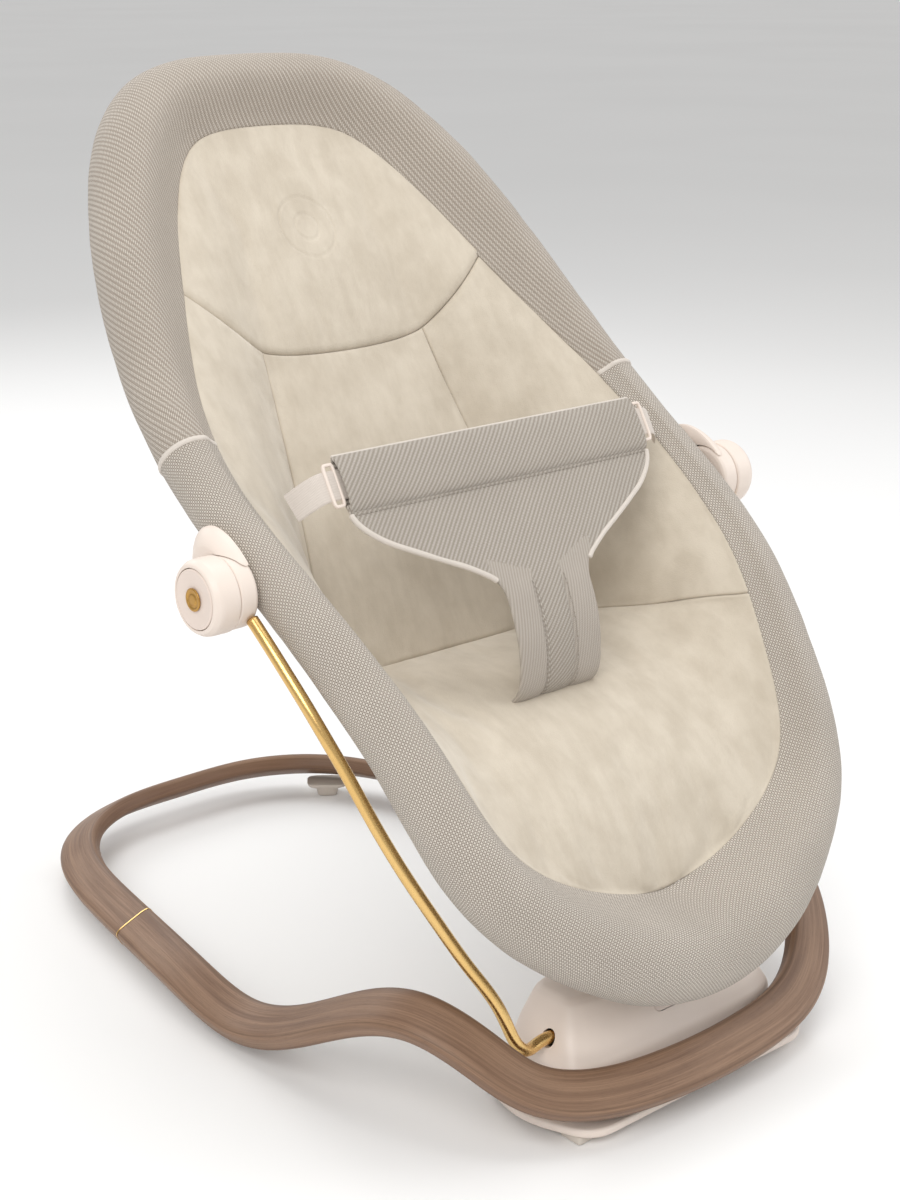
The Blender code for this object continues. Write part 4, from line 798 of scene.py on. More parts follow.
# ================================================================= recline hubs
RIM_UP = np.array((0.0, 0.0610, 0.0560)) / math.hypot(0.0610, 0.0560)
for tag, sg in SIDES:
    barrel = lathe("hub_barrel_" + tag, [(0.2415, 0.0043), (0.2415, 0.0172), (0.2450, 0.0172), (0.2450, 0.0250), (0.2440, 0.0258),
                                         (0.2330, 0.0256), (0.2312, 0.0246), (0.2305, 0.0225), (0.2305, 0.0043)], M["cream"], sg)
    e0, e1 = at(leg_pts[0] * np.array((sg, 1, 1))), at(leg_pts[20] * np.array((sg, 1, 1)))
    d = (e1 - e0) / np.linalg.norm(e1 - e0)
    boolean(barrel, rod_mesh("socket", e0 - d * 0.0004, e0 + d * 0.0300, LEG_R + 0.0004))
    barrel.data.set_sharp_from_angle(angle=math.radians(38))
    cap = lathe("hub_collar_" + tag, [(0.2655, 0.0213), (0.2655, 0.0226), (0.2646, 0.0240), (0.2612, 0.0261), (0.2585, 0.0266),
                                      (0.2465, 0.0266), (0.2455, 0.0256), (0.2455, 0.0178), (0.2475, 0.0178), (0.2475, 0.0213)], M["cream"], sg,
                round_r=0.0007)
    disc = lathe("hub_button_" + tag, [(0.2652, 0.0), (0.2652, 0.0110), (0.2657, 0.0180), (0.2660, 0.0198), (0.2653, 0.0208), (0.2615, 0.0208),
                                       (0.2605, 0.0200), (0.2605, 0.0085), (0.2530, 0.0085), (0.2530, 0.0)], M["cream_face"], sg, round_r=0.0006)
    mark = lathe("hub_emblem_" + tag, [(0.2669, 0.0), (0.2669, 0.0034), (0.2663, 0.0042), (0.2663, 0.0056), (0.2670, 0.0063), (0.2670, 0.0075),
                                       (0.2667, 0.0080), (0.2658, 0.0080), (0.2656, 0.0)], M["gold_mark"], sg, round_r=0.0003)
    rings = []
    for x, grow, reach in ((0.2310, -0.0010, 0.0490), (0.2318, 0.0000, 0.0500), (0.2345, 0.0002, 0.0497), (0.2375, -0.0010, 0.0475),
                           (0.2405, -0.0028, 0.0440), (0.2430, -0.0046, 0.0400), (0.2446, -0.0064, 0.0368), (0.2450, -0.0074, 0.0350)):
        across = np.cross((1.0, 0, 0), RIM_UP)
        ring = []
        for k in range(64):
            a = math.pi * (k / 63 * 1.3 - 0.15)
            w = (0.0268 + grow) * math.cos(a)
            r_in = 0.0268
            low = r_in * 0.2
            length = low + (reach - low) * math.sin(a) if math.sin(a) > 0 else low + reach * math.sin(a) * 0.3
            c = np.array((x, HUB_Y, HUB_Z)) + RIM_UP * length + across * w
            ring.append((sg * c[0], c[1], c[2]))
        rings.append(ring)
    fairing = grid("hub_fairing_" + tag, at(np.array(rings)), M["cream"], wrap_i=True, caps=True, sharp=50)
    boolean(fairing, rod_mesh("bore", at((sg * 0.220, HUB_Y, HUB_Z)), at((sg * 0.270, HUB_Y, HUB_Z)), 0.0264, sides=96))
    fairing.data.shade_smooth()
    fairing.data.set_sharp_from_angle(angle=math.radians(45))
    for ob, node, slot, body in ((barrel, "hub_housing_" + tag, "cream_plastic", "legs"), (cap, "hub_cap_" + tag, "cream_plastic", "seat"),
                                 (disc, "recline_button_" + tag, "cream_plastic", "button_" + tag),
                                 (mark, "button_mark_" + tag, "gold_metal", "button_" + tag),
                                 (fairing, "hub_bracket_" + tag, "cream_plastic", "seat")):
        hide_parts(node)
        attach(ob, body)


# ================================================================= padded rim covers
def rim_outline(r, reach, high):
    """Section of the padded rim, from the seam roll over the top, round the outside and back underneath.

    Returns the points and how far each lies from the crest along the cloth, positive inwards.
    """
    p0, p1, p2, p3 = np.array((reach, high)), np.array((reach - 0.012, high + 0.007)), np.array((r * 0.45, r)), np.array((0.0, r))
    t = np.linspace(0.03, 1, 20)[:, None]
    top = p0 * (1 - t) ** 3 + 3 * p1 * t * (1 - t) ** 2 + 3 * p2 * t * t * (1 - t) + p3 * t ** 3
    roll = np.array([(reach - 0.0030, high - 0.0065), (reach - 0.0006, high - 0.0042), (reach + 0.0004, high - 0.0020), (reach + 0.0002, high - 0.0006)])
    a = math.pi / 2 + math.pi * np.linspace(0, 1, 30)[1:]
    arc = np.stack([r * np.cos(a), r * np.sin(a)], -1)
    low = np.array((reach * 0.55, -r * 0.72))
    k = np.linspace(0, 1, 9)[1:, None]
    under = np.array((0.0, -r)) * (1 - k) ** 2 + 2 * np.array((reach * 0.34, -r * 1.02)) * k * (1 - k) + low * k * k
    k = np.linspace(0, 1, 7)[1:-1, None]
    inner = low * (1 - k) + roll[0] * k
    pts = np.vstack([roll, top, arc, under, inner])
    crest = len(roll) + len(top) - 1
    d = np.r_[0, np.cumsum(np.linalg.norm(np.diff(pts, axis=0), axis=1))]
    return pts, d[crest] - d


def rim_skin(name, s_list, mat, closed=False, grow=0.0, wave=0.0):
    q, inw, up = rim_frames(s_list)
    rows, uvs = [], []
    centre = np.stack([q[:, 0], (q[:, :3] - DATUM) @ EU], -1)
    inward2 = np.stack([inw[:, 0], inw @ EU], -1)
    inward2 /= np.linalg.norm(inward2, axis=1)[:, None]
    for row, a, b, c2, i2 in zip(q, inw, up, centre, inward2):
        sec, arc = rim_outline(row[3] + grow, row[4] - grow / 4, row[5])
        P = row[:3] + a * sec[:, :1] + b * sec[:, 1:]
        rows.append(P)
        uvs.append(c2 + i2 * arc[:, None])
    rows, uvs = np.array(rows), np.array(uvs)
    if wave:
        # soft unevenness of foam under cloth, most on the outside and underneath
        for j in range(rows.shape[0]):
            for i in range(0, rows.shape[1]):
                p = Vector(rows[j, i])
                amp = wave * (0.35 if i < 24 else 1.0)
                away = rows[j, i] - q[j, :3]
                away /= np.linalg.norm(away)
                rows[j, i] += away * amp * (noise.noise(p * 22.0) + 0.5 * noise.noise(p * 55.0))
    uvs = np.concatenate([uvs, uvs[:, :1]], 1)
    return grid(name, at(rows), mat, wrap_i=True, wrap_j=False, uv=uvs, caps=True, sharp=75)


seam_lo, seam_hi = RIM_SEAM_T - 0.0018, RIM_SEAM_T + 0.0018
low_s = np.linspace(-seam_lo, seam_lo, 261)
top_half = np.linspace(seam_hi, 1.0, 110)
top_s = np.r_[top_half, -top_half[::-1][1:]]


def tuck(s_list, rows_shape=None):
    return s_list


low = rim_skin("rim_fabric_lower", low_s, M["rim_low"], wave=0.0006)
high = rim_skin("rim_fabric_upper", top_s, M["rim_high"], wave=0.0006)
for ob, node in ((low, "rim_cover_lower"), (high, "rim_cover_upper")):
    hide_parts(node)
    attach(ob, "seat")
for tag, sg in SIDES:
    stations = np.linspace(-1, 1, 11)
    q, inw, up = rim_frames(sg * (RIM_SEAM_T + stations * 0.0022))
    rings, uvs = [], []
    for k, (row, a, b) in enumerate(zip(q, inw, up)):
        bulge = 0.0016 * math.sqrt(max(0.0, 1 - stations[k] ** 2)) - 0.0002
        sec, arc = rim_outline(row[3] + bulge, row[4] - 0.0002, row[5] + bulge * 0.6)
        rings.append(row[:3] + a * sec[:, :1] + b * sec[:, 1:])
        uvs.append(np.stack([arc, np.full(len(arc), stations[k] * 0.002)], -1))
    for k in (len(rings) - 1, 0):
        row, a, b = q[k], inw[k], up[k]
        sec, arc = rim_outline(row[3] - 0.003, row[4] - 0.002, row[5] - 0.003)
        rings.append(row[:3] + a * sec[:, :1] + b * sec[:, 1:])
        uvs.append(np.stack([arc, np.full(len(arc), 0.0)], -1))
    uvs = np.array(uvs + [uvs[0]])
    uvs = np.concatenate([uvs, uvs[:, :1]], 1)
    ob = grid("rim_cord_" + tag, at(np.array(rings)), M["piping"], wrap_i=True, wrap_j=True, uv=uvs, sharp=80)
    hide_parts("rim_piping_" + tag)
    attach(ob, "seat")


# ================================================================= quilted pads
def poly(points, n):
    """n points along a line, evenly spaced, smooth through the given ones."""
    pts = np.array([(p[0], p[1], 0.0) for p in points])
    out, _ = spline(pts, count=n)
    return out[:, :2]


def straight(points, n):
    pts = np.array(points, float)
    d = np.r_[0, np.cumsum(np.linalg.norm(np.diff(pts, axis=0), axis=1))]
    s = np.linspace(0, d[-1], n)
    return np.stack([np.interp(s, d, pts[:, 0]), np.interp(s, d, pts[:, 1])], -1)


def resample(line, f):
    """Points of a line at the given shares of its length."""
    d = np.r_[0, np.cumsum(np.linalg.norm(np.diff(line, axis=0), axis=1))]
    return np.stack([np.interp(np.asarray(f) * d[-1], d, line[:, k]) for k in range(line.shape[1])], -1)


def flip(line):
    return line * np.array((-1.0, 1.0))


def coons(sides, fu, fv):
    """Plan points of a patch. sides: bottom and top left to right, left and right bottom to top."""
    b, t, l, r = (resample(s, f) for s, f in zip(sides, (fu, fu, fv, fv)))
    U, V = np.meshgrid(fu, fv)
    U, V = U[..., None], V[..., None]
    ruled = (1 - V) * b[None] + V * t[None] + (1 - U) * l[:, None] + U * r[:, None]
    bil = (1 - U) * (1 - V) * b[0] + U * (1 - V) * b[-1] + (1 - U) * V * t[0] + U * V * t[-1]
    return ruled - bil


def stations(length, step=0.005, fine=(), near=True):
    """Shares along a side: close together at its ends, and inside the fine stretches."""
    d = [0, 0.0007, 0.0015, 0.0025, 0.0037, 0.0052, 0.0072, 0.0100] if near else [0, 0.003]
    mid = np.arange(d[-1] + step, length / 2 - step * 0.4, step)
    half = np.r_[d, mid]
    full = np.r_[half, length / 2, length - half[::-1]]
    for lo, hi, st in fine:
        full = np.r_[full[(full < lo) | (full > hi)], np.arange(lo, hi, st)]
    full = np.unique(np.round(full, 6))
    keep = np.r_[True, np.diff(full) > 0.00035]
    full = full[keep]
    full[-1] = length
    return full / length


def to_line_distance(P, line):
    """Distance from points to a 3-D line of points."""
    a, b = line[:-1], line[1:]
    ab = b - a
    L = np.maximum((ab ** 2).sum(1), 1e-12)
    best = np.full(len(P), 1e9)
    for p0, d, l in zip(a, ab, L):
        t = np.clip(((P - p0) @ d) / l, 0, 1)
        best = np.minimum(best, np.linalg.norm(P - p0 - t[:, None] * d, axis=1))
    return best


def catmull(n_coarse, f):
    """Weights that read a smooth curve through n_coarse even samples at the shares f."""
    W = np.zeros((len(f), n_coarse))
    x = np.asarray(f) * (n_coarse - 1)
    k = np.clip(np.floor(x).astype(int), 0, n_coarse - 2)
    t = x - k
    w = np.stack([-0.5 * t + t ** 2 - 0.5 * t ** 3, 1 - 2.5 * t ** 2 + 1.5 * t ** 3, 0.5 * t + 2 * t ** 2 - 1.5 * t ** 3, -0.5 * t ** 2 + 0.5 * t ** 3], -1)
    for j in range(4):
        idx = np.clip(k + j - 1, 0, n_coarse - 1)
        np.add.at(W, (np.arange(len(f)), idx), w[:, j])
    return W


def inflate(name, P, crown, shrink=-0.012):
    """Cloth simulation of one sewn panel: its edges are held and air pressure fills it. Returns how far each point moved."""
    nv, nu = P.shape[:2]
    ob = grid(name, P, None)
    # the pressure acts along the face normals, so they have to point to the sitter
    centre = P[nv // 2, nu // 2]
    nrm = np.array(ob.data.polygons[(nv // 2 - 1) * (nu - 1) + nu // 2].normal)
    if nrm @ EN < 0:
        ob.data.flip_normals()
    pin = ob.vertex_groups.new(name="pin")
    edge = [j * nu + i for j in range(nv) for i in range(nu) if j in (0, nv - 1) or i in (0, nu - 1)]
    pin.add(edge, 1.0, "REPLACE")
    mod = ob.modifiers.new("cloth", "CLOTH")
    st = mod.settings
    st.quality = 5
    st.mass = 0.30
    st.tension_stiffness = st.compression_stiffness = 15
    st.shear_stiffness = 6
    st.bending_stiffness = 0.35
    st.air_damping = 1.5
    st.use_pressure = True
    st.uniform_pressure_force = 4.0
    st.vertex_group_mass = "pin"
    st.shrink_min = shrink
    st.effector_weights.gravity = 0.0
    mod.collision_settings.use_collision = False
    mod.point_cache.frame_start, mod.point_cache.frame_end = 1, 20
    for f in range(1, 21):
        scene.frame_set(f)
    ev = ob.evaluated_get(bpy.context.evaluated_depsgraph_get())
    co = np.zeros(len(ev.data.vertices) * 3)
    ev.data.vertices.foreach_get("co", co)
    moved = co.reshape(nv, nu, 3) - P
    bpy.data.objects.remove(ob, do_unlink=True)
    scene.frame_set(1)
    size = np.linalg.norm(moved, axis=-1)
    peak = np.percentile(size, 97)
    print(f"{name}: cloth moved up to {size.max() * 1000:.1f} mm")
    return moved * (crown / max(peak, 1e-6)) if peak > crown else moved


def dome(nv, nu, normals, crown):
    """Stand-in for the simulation while trying things: a shallow crown."""
    v, u = np.linspace(-1, 1, nv)[:, None], np.linspace(-1, 1, nu)[None]
    return normals * (crown * ((1 - v ** 4) * (1 - u ** 4)))[..., None]


def panel(name, sides, lengths, crown, radii, nodes, lift=0.0, fine_u=(), fine_v=(), emblem=False, thick=0.0085, rims=(), ripple=0.0, moved=None):
    """A sewn, filled panel. sides as in coons; radii are the roll of the bottom, top, left and right edges."""
    fu, fv = stations(lengths[0], 0.005, fine_u), stations(lengths[1], 0.005, fine_v)
    plan = coons(sides, fu, fv)
    x, u = plan[..., 0], plan[..., 1]
    n = surface_height(x, u)
    base = np.stack([x, u, n], -1)
    nrm = surface_normal(x, u)
    lines = [np.concatenate([resample(s, np.linspace(0, 1, 160)), np.zeros((160, 1))], 1) for s in sides]
    for ln in lines:
        ln[:, 2] = surface_height(ln[:, 0], ln[:, 1])
    flat = base.reshape(-1, 3)
    dist = [to_line_distance(flat, ln).reshape(x.shape) for ln in lines]
    drop = np.zeros_like(x)
    for d, r in zip(dist, radii):
        q = np.clip(d / r, 0, 1)
        drop = np.maximum(drop, r * 0.85 * (1 - np.sqrt(np.maximum(0.0, 1 - (1 - q) ** 2))))
    # the crown from the cloth simulation, on an even grid
    cu, cv = max(12, int(lengths[0] / 0.0065)), max(12, int(lengths[1] / 0.0065))
    cplan = coons(sides, np.linspace(0, 1, cu), np.linspace(0, 1, cv))
    cn = surface_height(cplan[..., 0], cplan[..., 1])
    cbase = np.concatenate([cplan, cn[..., None]], -1)
    cnrm = surface_normal(cplan[..., 0], cplan[..., 1])
    if moved is None:
        world = plan_to_world(cbase)
        w = inflate(name + "_cloth", world, crown)
        moved = np.stack([w[..., 0], w @ EU, w @ EN], -1)
    disp = np.einsum("ab,bcd->acd", catmull(cv, fv), moved)
    disp = np.einsum("ab,cbd->cad", catmull(cu, fu), disp)
    near = np.min(dist, axis=0)
    disp *= np.clip(near / 0.004, 0, 1)[..., None]
    top = base + disp + nrm * (lift - drop)[..., None]
    if ripple:
        # small gathers that run in from the sewn edges
        for j in range(top.shape[0]):
            for i in range(top.shape[1]):
                p = Vector((base[j, i, 0], base[j, i, 1], 0.3))
                fade = math.exp(-near[j, i] / 0.018) * min(1.0, near[j, i] / 0.003)
                top[j, i] += nrm[j, i] * (ripple * fade * noise.noise(p * 95.0) + ripple * 0.55 * noise.noise(p * 24.0))
    if emblem:
        ex, eu, er = EMBLEM
        rr = np.hypot(x - ex, u - eu)
        groove = np.exp(-((rr - er) / 0.00085) ** 2) + 0.8 * np.exp(-((rr - er * 0.44) / 0.00085) ** 2)
        top -= nrm * (0.0010 * groove + 0.0004 * np.clip(1 - rr / er, 0, 0.15) / 0.15)[..., None]
    rim_d = np.min([dist[k] for k in rims], axis=0) if rims else np.full_like(x, 0.05)
    depth = thick - (thick - 0.0048) * (1 - np.clip(rim_d / 0.030, 0, 1)) ** 2
    low = base - nrm * depth[..., None]
    low += nrm * np.minimum(0.0, lift)
    T, L = plan_to_world(top), plan_to_world(low)
    nv, nu = T.shape[:2]
    verts = np.vstack([T.reshape(-1, 3), L.reshape(-1, 3)])
    idx = np.arange(nv * nu).reshape(nv, nu)
    faces = np.stack([idx[:-1, :-1], idx[:-1, 1:], idx[1:, 1:], idx[1:, :-1]], -1).reshape(-1, 4)
    off = nv * nu
    edge = np.r_[idx[0, :-1], idx[:-1, -1], idx[-1, :0:-1], idx[:0:-1, 0]]
    nxt = np.r_[edge[1:], edge[:1]]
    walls = np.stack([edge, edge + off, nxt + off, nxt], -1)
    every = np.vstack([faces, faces[:, ::-1] + off, walls])
    me = bpy.data.meshes.new(name)
    me.from_pydata([tuple(v) for v in verts.tolist()], [], [tuple(f) for f in every.tolist()])
    ob = dress(name, me, M["velour"], True, 70)
    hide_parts(*nodes)
    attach(ob, "seat")
    return ob, moved


T_HEAD = float(np.interp(HEAD_SEAM[-1][1], SEAM_U, _s))
head_end = seam_at([T_HEAD])[0]
head_line = poly([(-p[0], p[1]) for p in HEAD_SEAM[:0:-1]] + list(HEAD_SEAM), 241)
head_line[0], head_line[-1] = (-head_end[0], head_end[1]), head_end
side_line = poly(SIDE_SEAM, 121)
J_TOP = side_line[-1]
# the vertical seam meets the head seam on it
k_meet = int(np.argmin(np.linalg.norm(head_line - J_TOP, axis=1)))
side_line[-1] = head_line[k_meet]
seam_end = seam_at([S_SIDE])[0]
corner = np.array((CREASE_HALF, CREASE_U))


def seam_run(t0, t1, n=161):
    return seam_at(np.linspace(t0, t1, n))


# head panel
T_TOP = 0.87
head_sides = [head_line, np.vstack([flip(seam_run(T_TOP, 1.0)), seam_run(1.0, T_TOP)[1:]]), flip(seam_run(T_HEAD, T_TOP)), seam_run(T_HEAD, T_TOP)]
panel("pad_head_panel", head_sides, (0.300, 0.115), 0.0042, (0.0055, 0.0026, 0.0026, 0.0026), ("pad_backrest",), lift=0.0012,
      fine_u=[(0.115, 0.185, 0.0009)], fine_v=[(0.028, 0.088, 0.0009)], emblem=True, rims=(1, 2, 3), ripple=0.0003)
# centre panel
mid_head = head_line[(head_line[:, 0] > -abs(head_line[k_meet, 0]) - 1e-6) & (head_line[:, 0] < abs(head_line[k_meet, 0]) + 1e-6)]
centre_sides = [straight([(-CREASE_HALF, CREASE_U), (CREASE_HALF, CREASE_U)], 121), mid_head, flip(side_line), side_line]
panel("pad_centre_panel", centre_sides, (0.200, 0.255), 0.0034, (0.0022, 0.0022, 0.0020, 0.0020), (), ripple=0.0003)
# side panels: the right one, and its mirror image on the left
outer_head = head_line[head_line[:, 0] >= abs(head_line[k_meet, 0]) - 1e-6]
right_sides = [straight([corner, seam_end], 81), outer_head, side_line, seam_run(S_SIDE, T_HEAD)]
_, moved_r = panel("pad_side_panel_right", right_sides, (0.080, 0.300), 0.0028, (0.0022, 0.0022, 0.0020, 0.0026), (), rims=(3,), ripple=0.0003)
left_sides = [flip(right_sides[0])[::-1], flip(right_sides[1])[::-1], flip(right_sides[3]), flip(right_sides[2])]
moved_l = moved_r[:, ::-1] * np.array((-1.0, 1.0, 1.0))
panel("pad_side_panel_left", left_sides, (0.080, 0.300), 0.0028, (0.0022, 0.0022, 0.0026, 0.0020), (), rims=(2,), ripple=0.0003, moved=moved_l)
# seat panel
S_LOW = 0.125
front_edge = np.vstack([flip(seam_run(S_LOW, 0.0)), seam_run(0.0, S_LOW)[1:]])
crease_all = straight([(-seam_end[0], seam_end[1]), (-CREASE_HALF, CREASE_U), (CREASE_HALF, CREASE_U), seam_end], 301)
seat_sides = [front_edge, crease_all, flip(seam_run(S_LOW, S_SIDE)), seam_run(S_LOW, S_SIDE)]
panel("pad_seat_panel", seat_sides, (0.330, 0.250), 0.0048, (0.0026, 0.0030, 0.0026, 0.0026), ("pad_seat",), rims=(0, 2, 3), ripple=0.0003)


# ================================================================= sling under the pads
def sling(name):
    fu, fv = stations(0.34, 0.006), stations(0.25, 0.006)
    seat = coons(seat_sides, fu, fv)
    back_sides = [crease_all, head_sides[1], flip(seam_run(S_SIDE, T_TOP)), seam_run(S_SIDE, T_TOP)]
    back = coons(back_sides, fu, stations(0.42, 0.006))
    plan = np.vstack([seat[:-1], back[1:]])
    # the sling is stretched, so it rounds over the pads' fold
    x, u = plan[..., 0], plan[..., 1]
    n = surface_height(x, u)
    for _ in range(14):
        n[1:-1] = (n[:-2] + 2 * n[1:-1] + n[2:]) / 4 * 0.35 + n[1:-1] * 0.65
    base = np.stack([x, u, n], -1)
    nrm = surface_normal(x, u, 0.006)
    border = np.vstack([base[0], base[:, -1], base[-1, ::-1], base[::-1, 0]])
    near = to_line_distance(base.reshape(-1, 3), border).reshape(x.shape)
    fade = (1 - np.clip(near / 0.030, 0, 1)) ** 2
    off = (PAD_THICK + SLING_GAP) - (PAD_THICK + SLING_GAP - 0.0062) * fade
    rows = []
    for extra in (0.0, 0.0016):
        q = base - nrm * (off + extra)[..., None]
        for j in range(q.shape[0]):
            for i in range(q.shape[1]):
                p = Vector((x[j, i], u[j, i], 0.7))
                q[j, i] += nrm[j, i] * 0.0006 * noise.noise(p * 26.0) * min(1.0, near[j, i] / 0.02)
        rows.append(plan_to_world(q))
    A, B = rows
    nv, nu = A.shape[:2]
    idx = np.arange(nv * nu).reshape(nv, nu)
    faces = np.stack([idx[:-1, :-1], idx[:-1, 1:], idx[1:, 1:], idx[1:, :-1]], -1).reshape(-1, 4)
    off_i = nv * nu
    edge = np.r_[idx[0, :-1], idx[:-1, -1], idx[-1, :0:-1], idx[:0:-1, 0]]
    nxt = np.r_[edge[1:], edge[:1]]
    walls = np.stack([edge, edge + off_i, nxt + off_i, nxt], -1)
    every = np.vstack([faces, faces[:, ::-1] + off_i, walls])
    me = bpy.data.meshes.new(name)
    me.from_pydata([tuple(v) for v in np.vstack([A.reshape(-1, 3), B.reshape(-1, 3)]).tolist()], [], [tuple(f) for f in every.tolist()])
    run_v = np.r_[0, np.cumsum(np.linalg.norm(np.diff(B[:, nu // 2], axis=0), axis=1))]
    uvp = np.stack([x, np.broadcast_to(run_v[:, None], x.shape)], -1).reshape(-1, 2)
    flat = every.ravel()
    me.uv_layers.new(name="weave").data.foreach_set("uv", uvp[flat % off_i].astype(np.float32).ravel())
    ob = dress(name, me, M["sling"], True, 70)
    a, b, c = B[:-1, :-1], B[:-1, 1:], B[1:, :-1]
    area = np.linalg.norm(np.cross(b - a, c - a), axis=-1).sum()
    across = max(np.linalg.norm(np.diff(B[j], axis=0), axis=1).sum() for j in range(nv))
    return ob, float(area), (float(across), float(run_v[-1]))


sling_ob, sling_area, sling_flat = sling("sling_underside")
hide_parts("sling_cover")
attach(sling_ob, "seat")


# ================================================================= harness
def belt_line(s):
    y = line_value([(p[0], p[1]) for p in HARNESS_LINE], s)
    z = line_value([(p[0], p[2]) for p in HARNESS_LINE], s)
    e = 0.0008
    ty = line_value([(p[0], p[1]) for p in HARNESS_LINE], np.minimum(s + e, HARNESS_LINE[-1][0])) - line_value([(p[0], p[1]) for p in HARNESS_LINE], np.maximum(s - e, 0))
    tz = line_value([(p[0], p[2]) for p in HARNESS_LINE], np.minimum(s + e, HARNESS_LINE[-1][0])) - line_value([(p[0], p[2]) for p in HARNESS_LINE], np.maximum(s - e, 0))
    length = np.hypot(ty, tz)
    ty, tz = ty / length, tz / length
    return y, z, tz, -ty          # point, and the normal that faces the front


half_pts = np.array([(p[0], p[1], 0.0) for p in HARNESS_HALF])


def belt_half(s):
    h = np.interp(s, half_pts[:, 0], half_pts[:, 1])
    acc = h.copy()
    for d in (-0.004, -0.002, 0.002, 0.004):
        acc = acc + np.interp(np.asarray(s) + d, half_pts[:, 0], half_pts[:, 1])
    return np.where(np.asarray(s) < 0.040, h, acc / 5)


def belt_point(x, s, lift):
    y, z, ny, nz = belt_line(np.asarray(s, float))
    return np.stack([x + 0 * y, y + ny * lift, z + nz * lift], -1)


HEM = 0.0425
STRAP_S = 0.116
s_list = np.r_[np.linspace(0.036, STRAP_S, 61), np.linspace(STRAP_S, 0.2215, 96)[1:]]
c = np.r_[-1, -0.992, np.linspace(-0.975, 0.975, 61), 0.992, 1]
half = belt_half(s_list)
X = half[:, None] * c[None]
S = np.broadcast_to(s_list[:, None], X.shape)
strap = np.clip((S - STRAP_S) / 0.012, 0, 1)
line_x = 0.0138
groove = np.exp(-((np.abs(X) - line_x) / 0.0011) ** 2) * strap
pillow = strap * (np.clip(1 - ((np.abs(X) - 0.0275) / 0.0125) ** 2, 0, 1) * 0.0011 + np.clip(1 - (X / 0.0130) ** 2, 0, 1) * 0.0007)
edge_round = np.clip((half[:, None] - np.abs(X)) / 0.0016, 0, 1)
front = 0.0003 + 0.0013 * np.sqrt(np.clip(edge_round, 0, 1)) + pillow - groove * 0.0012
wave = np.zeros_like(X)
for j in range(X.shape[0]):
    for i in range(X.shape[1]):
        wave[j, i] = noise.noise(Vector((X[j, i] * 18, S[j, i] * 22, 1.3))) + 0.4 * noise.noise(Vector((X[j, i] * 50, S[j, i] * 34, 5.3)))
loose = np.clip((S - 0.045) / 0.02, 0, 1) * (1 - np.clip((S - 0.19) / 0.02, 0, 1))
wave *= 0.0011 * loose
F = at(belt_point(X, S, front + wave))
Bk = at(belt_point(X, S, -0.0003 - 0.0011 * np.sqrt(np.clip(edge_round, 0, 1)) + wave))
loop = np.concatenate([F, Bk[:, ::-1]], 1)
uvb = np.stack([np.concatenate([X, X[:, ::-1]], 1), np.concatenate([S, S], 1)], -1)
uvb = np.concatenate([uvb, uvb[:, :1]], 1)
belt = grid("belt_panel", loop, M["belt"], wrap_i=True, uv=uvb, caps=True, sharp=70)
belt.data.materials.append(M["belt_side"])
side_faces = [p.index for p in belt.data.polygons
              if abs(p.center.x) > line_x and abs(p.center.x) < 0.050 and (p.center.z < 0.3560 + (abs(p.center.x) - line_x) * 0.35)]
for k in side_faces:
    belt.data.polygons[k].material_index = 1
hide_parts("harness_panel")
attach(belt, "seat")

# rolled hem across the waist: a soft flattened tube with open ends
n_sec = 44
k = np.arange(n_sec) / n_sec * math.tau
hs = HEM / 2 * (1 - np.sign(np.cos(k)) * np.abs(np.cos(k)) ** 0.8) + 0.0002
bulge = np.where(np.sin(k) > 0, 0.0058, 0.0024) * np.abs(np.sin(k)) ** 0.85 * np.sign(np.sin(k))
bulge *= np.where(np.sin(k) > 0, 1 - 0.15 * np.cos(k), 1.0)
xs = np.r_[-0.1455, -0.1452, np.linspace(-0.144, 0.144, 73), 0.1452, 0.1455]
rows, uvh = [], []
arc = np.r_[0, np.cumsum(np.hypot(np.diff(np.r_[hs, hs[:1]]), np.diff(np.r_[bulge, bulge[:1]])))]


def hem_ring(x, scale=1.0, lift=0.0):
    w = np.array([noise.noise(Vector((x * 16, a * 30, 2.0))) + 0.5 * noise.noise(Vector((x * 42, a * 40, 4.0))) for a in hs]) * 0.0007
    sc = HEM / 2 + (hs - HEM / 2) * scale
    return at(belt_point(np.full(n_sec, x), np.clip(sc, 0.0, 0.2), bulge * scale + lift + w * (np.sin(k) > 0)))


for x in xs:
    rows.append(hem_ring(x, 0.985 if abs(x) > 0.1453 else 1.0))
    uvh.append(np.stack([np.full(n_sec + 1, x), arc], -1))
rows, uvh = np.array(rows), np.array(uvh)
mouth_r = np.array([hem_ring(0.1455, 0.86), hem_ring(0.1400, 0.84)])
mouth_l = np.array([hem_ring(-0.1400, 0.84), hem_ring(-0.1455, 0.86)])
rows = np.concatenate([mouth_l, rows, mouth_r])
uvh = np.concatenate([uvh[:1], uvh[:1], uvh, uvh[-1:], uvh[-1:]])
hem = grid("belt_hem", rows, M["belt"], wrap_i=True, uv=uvh, caps=True, sharp=60)
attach(hem, "seat")
# light piping along the curved lower edges, and a light strip along the top fold that is a painted highlight of the
# fold
top_x = np.linspace(-0.1450, 0.1450, 60)
# painted highlight: a thin light strip along the belt's top fold
ob = round_tube("belt_top_fold_painted_highlight", at(belt_point(top_x, np.full(60, 0.0006), 0.0004)), 0.0011, M["piping"], 12)
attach(ob, "seat")
es = np.linspace(HEM + 0.0015, 0.1135, 70)
binding = []
for tag, sg in SIDES:
    p = at(belt_point(sg * (belt_half(es) - 0.0004), es, 0.0006))
    ob = round_tube("belt_edge_binding_" + tag, p, 0.0021, M["piping"], 16)
    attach(ob, "seat")
    binding.append(ob)


